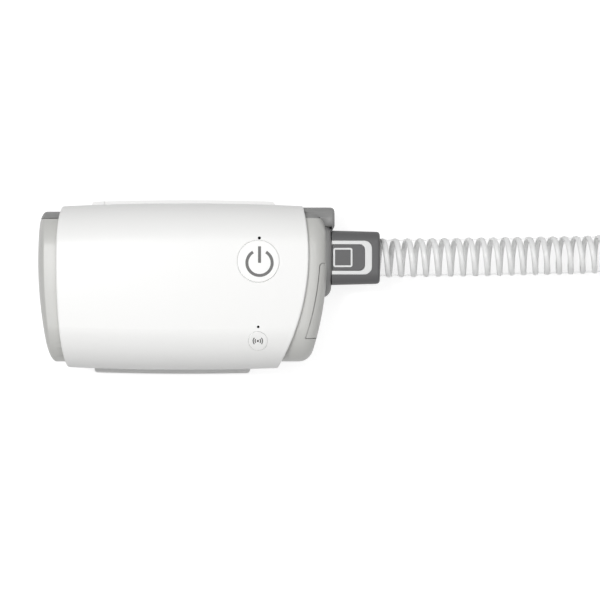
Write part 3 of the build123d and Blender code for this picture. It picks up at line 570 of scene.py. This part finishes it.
cloudy = {
    # darker and paler tone, scale and detail of the clouds, roughness where it is darkest
    "lampWindow": ((0.001, 0.001, 0.001), (0.004, 0.004, 0.005), 1500, 2, 0.45),
    "statusLamp": ((0.70, 0.78, 0.62), (0.82, 0.88, 0.74), 2500, 1, 0.2),
    "leadSleeve": ((0.42, 0.035, 0.03), (0.60, 0.07, 0.055), 700, 3, 0.4),
}


def clouded(name, unevenness=0.1, **more):
    # Smoked or dyed plastic with faint clouds in it
    darker, paler, scale, detail, roughness = cloudy[name]
    made = Finish(name)
    cloud = made.noise(scale, detail=detail)
    tone = made.mix(cloud, darker, paler)
    return made.surface(made.principled(Base_Color=tone, Roughness=cloud * unevenness + roughness, **more))


fabric = {
    "filter": (0.92, 0.92, 0.90),
    "fibres": 2600,
    "fibreDepth": 0.0002,
    "foam": (0.20, 0.20, 0.21),
    "foamCells": 1100,
    "foamDepth": 0.0004,
}


def filterFelt():
    # Fibres laid in two directions, pressed flat
    made = Finish("filterFelt")
    one = made.noise(fabric["fibres"], detail=3, at=made.place(scale=(1, 0.12, 1), turn=(0.5, 0.2, 0.3)))
    two = made.noise(fabric["fibres"], detail=3, at=made.place(scale=(1, 1, 0.12), turn=(0.9, 0.1, 0.7)))
    fibres = one.maths("MAXIMUM", one, two)
    tone = made.mix(fibres, toned(fabric["filter"], 0.82), fabric["filter"])
    return made.surface(
        made.principled(
            Base_Color=tone,
            Roughness=0.92,
            Specular_IOR_Level=0.2,
            Sheen_Weight=0.3,
            Normal=made.bump(fibres, fabric["fibreDepth"], 0.9),
        )
    )


def openFoam():
    # Dark cells between paler walls
    made = Finish("openFoam")
    walls = made.ramp(made.cells(fabric["foamCells"]), [(0.0, 0.0), (0.35, 1.0)])
    tone = made.mix(walls, toned(fabric["foam"], 0.35), toned(fabric["foam"], 1.15))
    return made.surface(
        made.principled(
            Base_Color=tone,
            Roughness=0.9,
            Specular_IOR_Level=0.2,
            Normal=made.bump(walls, fabric["foamDepth"]),
        )
    )


board = {
    "mask": (0.020, 0.180, 0.075),
    "trace": (0.045, 0.300, 0.120),
    "traceGrid": 420,
    "traceWidth": 0.06,
    "traceDepth": 0.00003,
    "speckle": 3000,
}


def solderMask():
    # Copper traces show through the mask as paler paths
    made = Finish("solderMask")
    trace = made.cells(board["traceGrid"], feature="DISTANCE_TO_EDGE") < board["traceWidth"]
    speckle = made.noise(board["speckle"], detail=2)
    tone = made.mix(trace, board["mask"], board["trace"])
    tone = made.mix(speckle * 0.15, tone, toned(board["mask"], 0.6))
    return made.surface(
        made.principled(
            Base_Color=tone,
            Roughness=speckle * 0.1 + 0.28,
            Coat_Weight=0.3,
            Normal=made.bump(trace, board["traceDepth"]),
        )
    )


winding = {
    "shade": (0.30, 0.10, 0.03),
    "wire": (0.78, 0.38, 0.17),
    "turns": 900.0,
    "wireDepth": 0.00015,
}


def woundCopper():
    # Turns of enamelled wire
    made = Finish("woundCopper")
    turns = made.node(
        "ShaderNodeTexWave",
        {"wave_type": "BANDS", "bands_direction": "Z"},
        {"Vector": made.place(), "Scale": winding["turns"], "Distortion": 0.6, "Detail": 1.0},
        output="Fac",
    )
    tone = made.mix(turns, winding["shade"], winding["wire"])
    return made.surface(
        made.principled(
            Base_Color=tone,
            Metallic=0.9,
            Roughness=turns * 0.1 + 0.25,
            Coat_Weight=0.5,
            Normal=made.bump(turns, winding["wireDepth"]),
        )
    )


clear = {
    "film": (0.93, 0.94, 0.94),
    "filmAlpha": 0.02,
    "filmHaze": 0.02,
    "filmEdge": 0.62,
    "filmClouds": 420,
    "bead": (0.93, 0.935, 0.925),
    "beadDepth": 0.003,  # how far light goes into it
    "beadStreaks": 500,
    "streakDepth": 0.00002,
    "swivel": (0.80, 0.83, 0.85),
    "swivelAlpha": 0.62,
    "swivelClouds": 600,
}


def hoseFilmFinish():
    # Clear, and seen best where it turns away
    made = Finish("hoseFilm")
    facing = made.node("ShaderNodeLayerWeight", {}, {"Blend": 0.35}, output="Facing")
    haze = made.noise(clear["filmClouds"], detail=3)
    alpha = facing**4 * clear["filmEdge"] + haze * clear["filmHaze"] + clear["filmAlpha"]
    return made.surface(
        made.principled(
            Base_Color=clear["film"],
            Roughness=haze * 0.1 + 0.12,
            Alpha=alpha,
            Specular_IOR_Level=0.6,
        )
    )


def hoseBeadFinish():
    # Milky plastic with faint streaks
    made = Finish("hoseBead")
    streaks = made.noise(clear["beadStreaks"], detail=3)
    tone = made.mix(streaks, toned(clear["bead"], 0.93), toned(clear["bead"], 1.05))
    return made.surface(
        made.principled(
            Base_Color=tone,
            Roughness=streaks * 0.12 + 0.28,
            Subsurface_Weight=0.7,
            Subsurface_Radius=(1.0, 1.0, 1.0),
            Subsurface_Scale=clear["beadDepth"],
            Coat_Weight=0.2,
            Normal=made.bump(streaks, clear["streakDepth"], 0.5),
        )
    )


def swivelFinish():
    # Clear plastic, a little hazy
    made = Finish("swivelClear")
    haze = made.noise(clear["swivelClouds"], detail=3)
    tone = made.mix(haze, toned(clear["swivel"], 0.94), clear["swivel"])
    return made.surface(
        made.principled(
            Base_Color=tone,
            Roughness=haze * 0.1 + 0.12,
            Alpha=haze * 0.1 + clear["swivelAlpha"],
            Coat_Weight=0.4,
        )
    )


finishes = {
    "casing_white": mouldedPlastic("casingPlastic", casingPlastic),
    "cap_grey": mouldedPlastic("capPlastic", capPlastic),
    "spine_grey": mouldedPlastic("spinePlastic", spinePlastic),
    "button_white": mouldedPlastic("buttonPlastic", buttonPlastic),
    "lamp_window": clouded("lampWindow", Specular_IOR_Level=0.05),
    "connector_grey": mouldedPlastic("connectorPlastic", connectorPlastic),
    "connector_pale": mouldedPlastic("palePlastic", palePlastic),
    "hose_film": hoseFilmFinish(),
    "hose_coil_bulk": hoseBeadFinish(),
    "cuff_rubber": mouldedRubber("cuffRubber", rubber["cuff"]),
    "swivel_clear": swivelFinish(),
    "foot_rubber": mouldedRubber("footRubber", rubber["feet"]),
    "soft_rubber": mouldedRubber("softRubber", rubber["soft"]),
    "black_plastic": mouldedPlastic("blackPlastic", blackPlastic),
    "inner_white": mouldedPlastic("innerPlastic", innerPlastic),
    "foam": openFoam(),
    "filter_fibre": filterFelt(),
    "board_green": solderMask(),
    "steel": brushedMetal("steel", metal["steel"], 0.22),
    "copper": woundCopper(),
    "magnet": brushedMetal("magnet", metal["magnet"], 0.35, along=(1, 1, 0.2)),
    "metal_can": brushedMetal("metalCan", metal["can"], 0.2),
    "contact_metal": brushedMetal("contactMetal", metal["contact"], 0.15, along=(0.1, 1, 1)),
    "lead_red": clouded("leadSleeve", unevenness=0.15),
    "statusLamp": clouded("statusLamp"),
    "railPlasticPaintedShade": mouldedPlastic("railPlasticPaintedShade", railPlasticPaintedShade),
}
# Pieces whose finish isn't their slot's usual one
ownFinishes = {
    "status_lamps": "statusLamp",
    # the rails carry the casing's plastic with painted shade
    "front_foot_rail": "railPlasticPaintedShade",
    "back_foot_rail": "railPlasticPaintedShade",
}
slots = {row["node"]: row["material_slot"] for row in frame["record"]["subparts"]}
for name, node in nodes.items():
    node.data.materials.clear()
    node.data.materials.append(finishes[ownFinishes.get(name, slots[name])])
print("finishes given to", len(nodes), "nodes")


# Pieces laid over the frame

sameSpot = 0.000001  # points closer than this are merged
dropHeight = 1.0  # a sheet is dropped on its node from here


def surfaceUnder(node):
    mesh = nodes[node].data
    places = [vertex.co for vertex in mesh.vertices]
    return BVHTree.FromPolygons(places, [face.vertices for face in mesh.polygons])


def facesOf(region):
    return [part for part in region["geom"] if isinstance(part, bmesh.types.BMFace)]


def pointsOf(region):
    return [part for part in region["geom"] if isinstance(part, bmesh.types.BMVert)]


def laidOn(bm, node, sink, thickness):
    # Drops a flat sheet on a node from above and gives it a body
    surface, down = surfaceUnder(node), Vector((0, 0, -1))
    for vertex in bm.verts:
        above = Vector((vertex.co.x, vertex.co.y, dropHeight))
        vertex.co.z = surface.ray_cast(above, down)[0].z - sink
    raised = bmesh.ops.extrude_face_region(bm, geom=bm.faces[:], use_keep_orig=True)
    bmesh.ops.translate(bm, verts=pointsOf(raised), vec=(0, 0, sink + thickness))
    bmesh.ops.recalc_face_normals(bm, faces=bm.faces[:])


def pieceOf(name, bm, slot, body, finish=None, sharpFrom=35):
    # Smooth, apart from edges where the faces turn by more than sharpFrom degrees
    mesh = bpy.data.meshes.new(name)
    bm.to_mesh(mesh)
    bm.free()
    mesh.shade_smooth()
    mesh.set_sharp_from_angle(angle=math.radians(sharpFrom))
    made = linked(name, mesh)
    mesh.materials.append(finish or finishes[slot])
    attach(made, body)
    return made


def roundedSheet(bm, placed, corner, segments):
    # A flat square with round corners. Its matrix stretches and places it first.
    bmesh.ops.create_grid(bm, x_segments=1, y_segments=1, size=0.5, matrix=placed)
    bmesh.ops.bevel(
        bm,
        geom=bm.verts[:],
        offset=corner,
        segments=segments,
        profile=0.5,
        affect="VERTICES",
        material=-1,
    )


def insetSheet(bm, faces, thickness, depth=0.0):
    # Draws the faces in from their common edge, and lifts them by the depth
    bmesh.ops.inset_region(
        bm, faces=faces, thickness=thickness, depth=depth, use_boundary=True, use_even_offset=True
    )


printing = {
    "sink": 0.00002,  # how deep a sign's underside lies in its button
    "fewestSteps": 8,  # of an arc
    "degreesPerStep": 5,
    "speckle": 2600,
}


def printedInk(name, colour):
    # Screen print, a little thin in places
    made = Finish(name)
    thin = made.noise(printing["speckle"], detail=3)
    tone = made.mix(thin, toned(colour, 0.9), toned(colour, 1.12))
    roughness = thin * 0.1 + 0.45
    return made.surface(made.principled(Base_Color=tone, Roughness=roughness, Specular_IOR_Level=0.4))


def arcStrip(bm, centre, radius, width, start, sweep):
    # A strip's end edge, spun about its centre
    ends = []
    for reach in (radius - width / 2, radius + width / 2):
        place = (centre[0] + reach * math.cos(start), centre[1] + reach * math.sin(start), 0)
        ends.append(bm.verts.new(place))
    edge = bm.edges.new(ends)
    steps = max(printing["fewestSteps"], int(math.degrees(sweep) / printing["degreesPerStep"]))
    bmesh.ops.spin(bm, geom=[*ends, edge], cent=(*centre, 0), axis=(0, 0, 1), angle=sweep, steps=steps)


powerMark = {
    "centre": (0.0350, 0.01075),
    "radius": 0.00580,
    "stroke": 0.00138,
    "gap": 31,  # degrees either side of the bar
    "barTop": 0.01835,
    "thickness": 0.00005,
    "ink": (0.150, 0.150, 0.147),
}


def makePowerMark():
    # A ring, open at the back, with a bar that stands in the opening
    bm = bmesh.new()
    centre, stroke = powerMark["centre"], powerMark["stroke"]
    start, sweep = math.radians(90 + powerMark["gap"]), math.radians(360 - 2 * powerMark["gap"])
    arcStrip(bm, centre, powerMark["radius"], stroke, start, sweep)
    length = powerMark["barTop"] - centre[1]
    place = Matrix.Translation((centre[0], centre[1] + length / 2, 0))
    bar = place @ Matrix.Diagonal((stroke, length, 1, 1))
    bmesh.ops.create_grid(bm, x_segments=2, y_segments=10, size=0.5, matrix=bar)
    laidOn(bm, "power_button", printing["sink"], powerMark["thickness"])
    ink = printedInk("powerInk", powerMark["ink"])
    pieceOf("power_mark", bm, "button_white", "power_button", ink)


wirelessMark = {
    "centre": (0.0342, -0.0252),
    "dot": 0.00050,
    "radii": (0.00125, 0.00215),
    "stroke": 0.00048,
    "halfAngle": 42,
    "thickness": 0.00005,
    "ink": (0.105, 0.105, 0.103),
}


def makeWirelessMark():
    # A plain dot with waves leaving it on both sides
    bm = bmesh.new()
    centre = wirelessMark["centre"]
    place = Matrix.Translation((*centre, 0))
    bmesh.ops.create_circle(bm, cap_ends=True, radius=wirelessMark["dot"], segments=24, matrix=place)
    half = math.radians(wirelessMark["halfAngle"])
    for radius in wirelessMark["radii"]:
        for middle in (0, math.pi):
            arcStrip(bm, centre, radius, wirelessMark["stroke"], middle - half, 2 * half)
    laidOn(bm, "wireless_button", printing["sink"], wirelessMark["thickness"])
    ink = printedInk("wirelessInk", wirelessMark["ink"])
    pieceOf("wireless_mark", bm, "button_white", "wireless_button", ink)


tongueSquare = {
    "middle": (0.0736, 0.0135),
    "size": 0.00896,
    "line": 0.00081,
    "corner": 0.00098,
    "cornerSegments": 6,
    "thickness": 0.00036,
}


def makeTongueSquare():
    # The pale line that fills the square groove in the tongue's top
    bm = bmesh.new()
    placed = Matrix.Translation((*tongueSquare["middle"], 0)) @ Matrix.Scale(tongueSquare["size"], 4)
    roundedSheet(bm, placed, tongueSquare["corner"], tongueSquare["cornerSegments"])
    middle = bm.faces[:]
    insetSheet(bm, middle, tongueSquare["line"])
    bmesh.ops.delete(bm, geom=middle, context="FACES")
    laidOn(bm, "latch_tongue_top", 0.0, tongueSquare["thickness"])
    pieceOf("tongue_square", bm, "connector_pale", "latch_top")


makePowerMark()
makeWirelessMark()
makeTongueSquare()
print("marks made")

buttonLips = {
    # centre, inner and outer radius
    "power_button_lip": ((0.0344, 0.0115), 0.00973, 0.00991),
    "wireless_button_lip": ((0.0342, -0.0252), 0.00442, 0.00462),
}
lip = {
    "drop": 0.00022,  # below the casing's face
    "depth": 0.0008,
    "landing": 0.0004,  # how far outside the lip the casing's level is read
    "steps": 120,
}


def makeLip(name, centre, inner, outer):
    # A thin ring that keeps dust out of the gap round a button
    bm = bmesh.new()
    middle = Vector((*centre, 0))
    ends = [bm.verts.new(middle + Vector((reach, 0, 0))) for reach in (inner, outer)]
    edge = bm.edges.new(ends)
    bmesh.ops.spin(
        bm,
        geom=[*ends, edge],
        cent=middle,
        axis=(0, 0, 1),
        angle=2 * math.pi,
        steps=lip["steps"],
        use_merge=True,
    )
    surface = surfaceUnder("upper_shell")
    top = Vector((0, 0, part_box("upper_shell")[1].z))
    for vertex in bm.verts:
        spot = middle + top + (vertex.co - middle).normalized() * (outer + lip["landing"])
        vertex.co.z = surface.find_nearest(spot)[0].z - lip["drop"]
    lowered = bmesh.ops.extrude_face_region(bm, geom=bm.faces[:], use_keep_orig=True)
    bmesh.ops.translate(bm, verts=pointsOf(lowered), vec=(0, 0, -lip["depth"]))
    bmesh.ops.recalc_face_normals(bm, faces=bm.faces[:])
    pieceOf(name, bm, "button_white", "machine")


for name, (centre, inner, outer) in buttonLips.items():
    makeLip(name, centre, inner, outer)
print("button lips made")

softPads = {
    # node: slot, corner radius, how far the rim is pressed in
    "filter_pad": ("filter_fibre", 0.006, 0.0011),
    "inlet_muffler": ("foam", 0.003, 0.0004),
}
padSteps = {
    "insets": 4,
    "firstInset": 0.07,  # of the corner radius
    "growth": 1.7,  # of each inset over the one before
    "rise": 0.6,  # of the height that is left
    "cornerSegments": 8,
    "seam": 0.00001,  # points this close to the mirror's plane are merged
    "sharpFrom": 60,
}


def makeSoftPad(node, slot, corner, pressed):
    # Half a pad is a rounded sheet, inset and raised in steps; the other half is its mirror image
    low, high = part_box(node)
    size, middle = high - low, (low + high) / 2
    bm = bmesh.new()
    roundedSheet(bm, Matrix.Diagonal((size.y, size.z, 1, 1)), corner, padSteps["cornerSegments"])
    wall = bmesh.ops.extrude_face_region(bm, geom=bm.faces[:])
    bmesh.ops.translate(bm, verts=pointsOf(wall), vec=(0, 0, size.x / 2 - pressed))
    top = facesOf(wall)
    inset, left = padSteps["firstInset"] * corner, pressed
    for step in range(padSteps["insets"]):
        rise = left * padSteps["rise"]
        insetSheet(bm, top, inset, rise)
        inset, left = inset * padSteps["growth"], left - rise
    everything = bm.verts[:] + bm.edges[:] + bm.faces[:]
    bmesh.ops.mirror(bm, geom=everything, axis="Z", merge_dist=padSteps["seam"])
    bmesh.ops.recalc_face_normals(bm, faces=bm.faces[:])
    turn = Matrix(((0, 0, 1), (1, 0, 0), (0, 1, 0))).to_4x4()
    bmesh.ops.transform(bm, matrix=Matrix.Translation(middle) @ turn, verts=bm.verts[:])
    made = pieceOf(node + "_soft", bm, slot, "machine", sharpFrom=padSteps["sharpFrom"])
    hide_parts(node)


for node, (slot, corner, pressed) in softPads.items():
    makeSoftPad(node, slot, corner, pressed)
print("soft pads made")

leftEnd = {
    "nodes": {"filter_cover": "filter_cover", "rear_spine": "machine"},  # and the bodies they ride on
    "starts": -0.0600,
    "ends": -0.0698,
    "planRadius": 0.170,  # of the end, seen from above
    "planMiddle": 0.012,
    "rounding": 0.0070,  # of the solid's edge
    "crisp": 0.0030,  # how deep the moulding's edge is instead
    "settled": 0.0100,  # how far in nothing has moved
    "level": 0.024,  # where the end reaches furthest
    "bow": 0.092,  # radius, seen from the front
    "firstCut": 0.006,  # level cuts, so that the faces can bend
    "cutStep": 0.002,
    "cuts": 21,
}


def crispDepth(depth):
    rounding, crisp, settled = leftEnd["rounding"], leftEnd["crisp"], leftEnd["settled"]
    if depth < rounding:
        return depth * crisp / rounding
    if depth < settled:
        return crisp + (depth - rounding) * (settled - crisp) / (settled - rounding)
    return depth


def makeBowedEnd(node, body):
    # The left end as the moulding is: a crisper edge, and a bow from top to bottom
    bm = bmesh.new()
    bm.from_mesh(nodes[node].data)
    bmesh.ops.remove_doubles(bm, verts=bm.verts[:], dist=sameSpot)
    levels = [leftEnd["firstCut"] + leftEnd["cutStep"] * step for step in range(leftEnd["cuts"])]
    cuts = [((0, 0, level), (0, 0, 1)) for level in levels] + [((leftEnd["starts"], 0, 0), (1, 0, 0))]
    for place, across in cuts:
        everything = bm.verts[:] + bm.edges[:] + bm.faces[:]
        bmesh.ops.bisect_plane(bm, geom=everything, plane_co=place, plane_no=across)
    radius, bow = leftEnd["planRadius"], leftEnd["bow"]
    for vertex in bm.verts:
        offAxis = vertex.co.y - leftEnd["planMiddle"]
        end = leftEnd["ends"] + radius - math.sqrt(radius**2 - offAxis**2)
        x = end + crispDepth(max(0.0, vertex.co.x - end))
        share = min(1.0, max(0.0, (leftEnd["starts"] - x) / (leftEnd["starts"] - leftEnd["ends"])))
        height = vertex.co.z - leftEnd["level"]
        vertex.co.x = x + share * (bow - math.sqrt(bow**2 - height**2))
    made = pieceOf(node + "_bowed", bm, slots[node], body)
    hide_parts(node)


for node, body in leftEnd["nodes"].items():
    makeBowedEnd(node, body)
print("left end bowed")

cuff = {
    "front": 0.2635,
    "back": 0.2935,
    "frontRadius": 0.0120,
    "backRadius": 0.0104,
    "spigotEnd": 0.2560,
    "spigotRadius": 0.0095,
    "bore": 0.0080,
    "hoseDepth": 0.012,  # how far the hose goes in
    "ribs": 7,
    "samplesPerRib": 8,
    "ribDepth": 0.00045,
    "ribsFrom": 0.2690,
    "ribsTo": 0.2885,
    "lip": 0.0006,
}


def spunAboutX(profile, centre, steps=72):
    # A closed outline of distance along X and radius, spun into a solid ring
    bm = bmesh.new()
    corners = [bm.verts.new((along, centre[0], centre[1] + radius)) for along, radius in profile]
    edges = [bm.edges.new((corners[i], corners[(i + 1) % len(corners)])) for i in range(len(corners))]
    bmesh.ops.spin(
        bm,
        geom=corners + edges,
        cent=(0, *centre),
        axis=(1, 0, 0),
        angle=2 * math.pi,
        steps=steps,
        use_merge=True,
    )
    bmesh.ops.remove_doubles(bm, verts=bm.verts[:], dist=sameSpot)
    bmesh.ops.recalc_face_normals(bm, faces=bm.faces[:])
    return bm


def cuffRadius(along):
    share = (along - cuff["front"]) / (cuff["back"] - cuff["front"])
    return cuff["frontRadius"] + (cuff["backRadius"] - cuff["frontRadius"]) * share


def makeCuff():
    # A soft sleeve with finger grooves, its stub inside the swivel
    outside = [(cuff["spigotEnd"], cuff["spigotRadius"]), (cuff["front"], cuff["spigotRadius"])]
    outside += [(cuff["front"], cuffRadius(cuff["front"]) - cuff["lip"])]
    outside += [(cuff["front"] + cuff["lip"], cuffRadius(cuff["front"] + cuff["lip"]))]
    samples = cuff["ribs"] * cuff["samplesPerRib"]
    for step in range(samples + 1):
        along = cuff["ribsFrom"] + (cuff["ribsTo"] - cuff["ribsFrom"]) * step / samples
        groove = (1 - math.cos(2 * math.pi * step / cuff["samplesPerRib"])) / 2
        outside.append((along, cuffRadius(along) - cuff["ribDepth"] * groove))
    outside += [(cuff["back"] - cuff["lip"], cuffRadius(cuff["back"]))]
    outside += [(cuff["back"], cuffRadius(cuff["back"]) - cuff["lip"])]
    shoulder = cuff["back"] - cuff["hoseDepth"]
    inside = [(cuff["back"], hose["beadRadius"]), (shoulder, hose["beadRadius"])]
    inside += [(shoulder, cuff["bore"]), (cuff["spigotEnd"], cuff["bore"])]
    bm = spunAboutX(outside + inside, (coilPoint(coil["endAngle"])[1], coil["endHeight"]))
    made = pieceOf("cuff_grip", bm, "cuff_rubber", "connector")
    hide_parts("hose_cuff")
    return made


cuffGrip = makeCuff()

for piece, slot in ((hoseFilm, "hose_film"), (hoseBead, "hose_coil_bulk")):
    piece.data.materials.append(finishes[slot])
    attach(piece, "connector")
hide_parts("air_hose", "hose_coil")


# Floor and light

stageLook = {
    "floor": 12.0,  # metres across
    "floorColour": (0.45, 0.45, 0.45),
    "floorClouds": 3,
    "floorGlow": 0.78,  # seen by the camera, and in gloss and glass, but it lights nothing
    "ambient": 0.35,
    "background": 1.0,
}
lamps = {
    # place, size along X, size along Y, power, what it points at
    "strip": ((-0.42, 0.17, 1.50), 0.50, 0.10, 9.0, (-0.06, 0.02, 0.05)),
    "overhead": ((0.05, 0.25, 1.60), 1.20, 0.90, 5.6, (0.03, 0.0, 0.03)),
    "front": ((0.10, -1.30, 0.80), 0.90, 0.50, 0.6, (0.03, 0.0, 0.03)),
    "side": ((0.70, 0.12, 1.30), 0.50, 0.60, 2.6, (0.06, 0.0, 0.03)),
}


def seenDirectly(tree):
    # 1 where the camera, gloss or glass looks, 0 where light only bounces
    path = tree.nodes.new("ShaderNodeLightPath")
    seen = path.outputs["Is Camera Ray"]
    for output in ("Is Glossy Ray", "Is Transmission Ray"):
        either = tree.nodes.new("ShaderNodeMath")
        either.operation = "MAXIMUM"
        tree.links.new(seen, either.inputs[0])
        tree.links.new(path.outputs[output], either.inputs[1])
        seen = either.outputs[0]
    return seen


def makeFloor():
    bm = bmesh.new()
    bmesh.ops.create_grid(bm, x_segments=8, y_segments=8, size=stageLook["floor"] / 2)
    mesh = bpy.data.meshes.new("floor")
    bm.to_mesh(mesh)
    bm.free()
    floor = linked("floor", mesh)
    made = Finish("floor")
    cloud = made.noise(stageLook["floorClouds"], detail=2)
    tone = made.mix(cloud, toned(stageLook["floorColour"], 0.99), stageLook["floorColour"])
    glow = made.mix(Wire(made, seenDirectly(made.tree)), (0, 0, 0), (1, 1, 1))
    shader = made.principled(
        Base_Color=tone,
        Roughness=0.9,
        Specular_IOR_Level=0.0,
        Emission_Color=glow,
        Emission_Strength=stageLook["floorGlow"],
    )
    mesh.materials.append(made.surface(shader))


def makeWorld():
    # White where the camera, gloss or glass sees it, softer as a light
    world = bpy.data.worlds.new("world")
    scene.world = world
    world.use_nodes = True
    tree = world.node_tree
    tree.nodes.clear()
    strength = tree.nodes.new("ShaderNodeMapRange")
    strength.inputs["To Min"].default_value = stageLook["ambient"]
    strength.inputs["To Max"].default_value = stageLook["background"]
    tree.links.new(seenDirectly(tree), strength.inputs["Value"])
    light = tree.nodes.new("ShaderNodeBackground")
    tree.links.new(strength.outputs["Result"], light.inputs["Strength"])
    output = tree.nodes.new("ShaderNodeOutputWorld")
    tree.links.new(light.outputs["Background"], output.inputs["Surface"])


def makeLamps():
    for name, (place, alongX, alongY, power, target) in lamps.items():
        data = bpy.data.lights.new(name, "AREA")
        data.shape = "RECTANGLE"
        data.size = alongX
        data.size_y = alongY
        data.energy = power
        lamp = bpy.data.objects.new(name, data)
        lamp.location = place
        aim = Vector(target) - Vector(place)
        lamp.rotation_euler = (math.atan2(aim.y, -aim.z), math.atan2(-aim.x, -aim.z), 0)
        lamp.visible_camera = False
        scene.collection.objects.link(lamp)


makeFloor()
makeWorld()
makeLamps()
print("stage made")
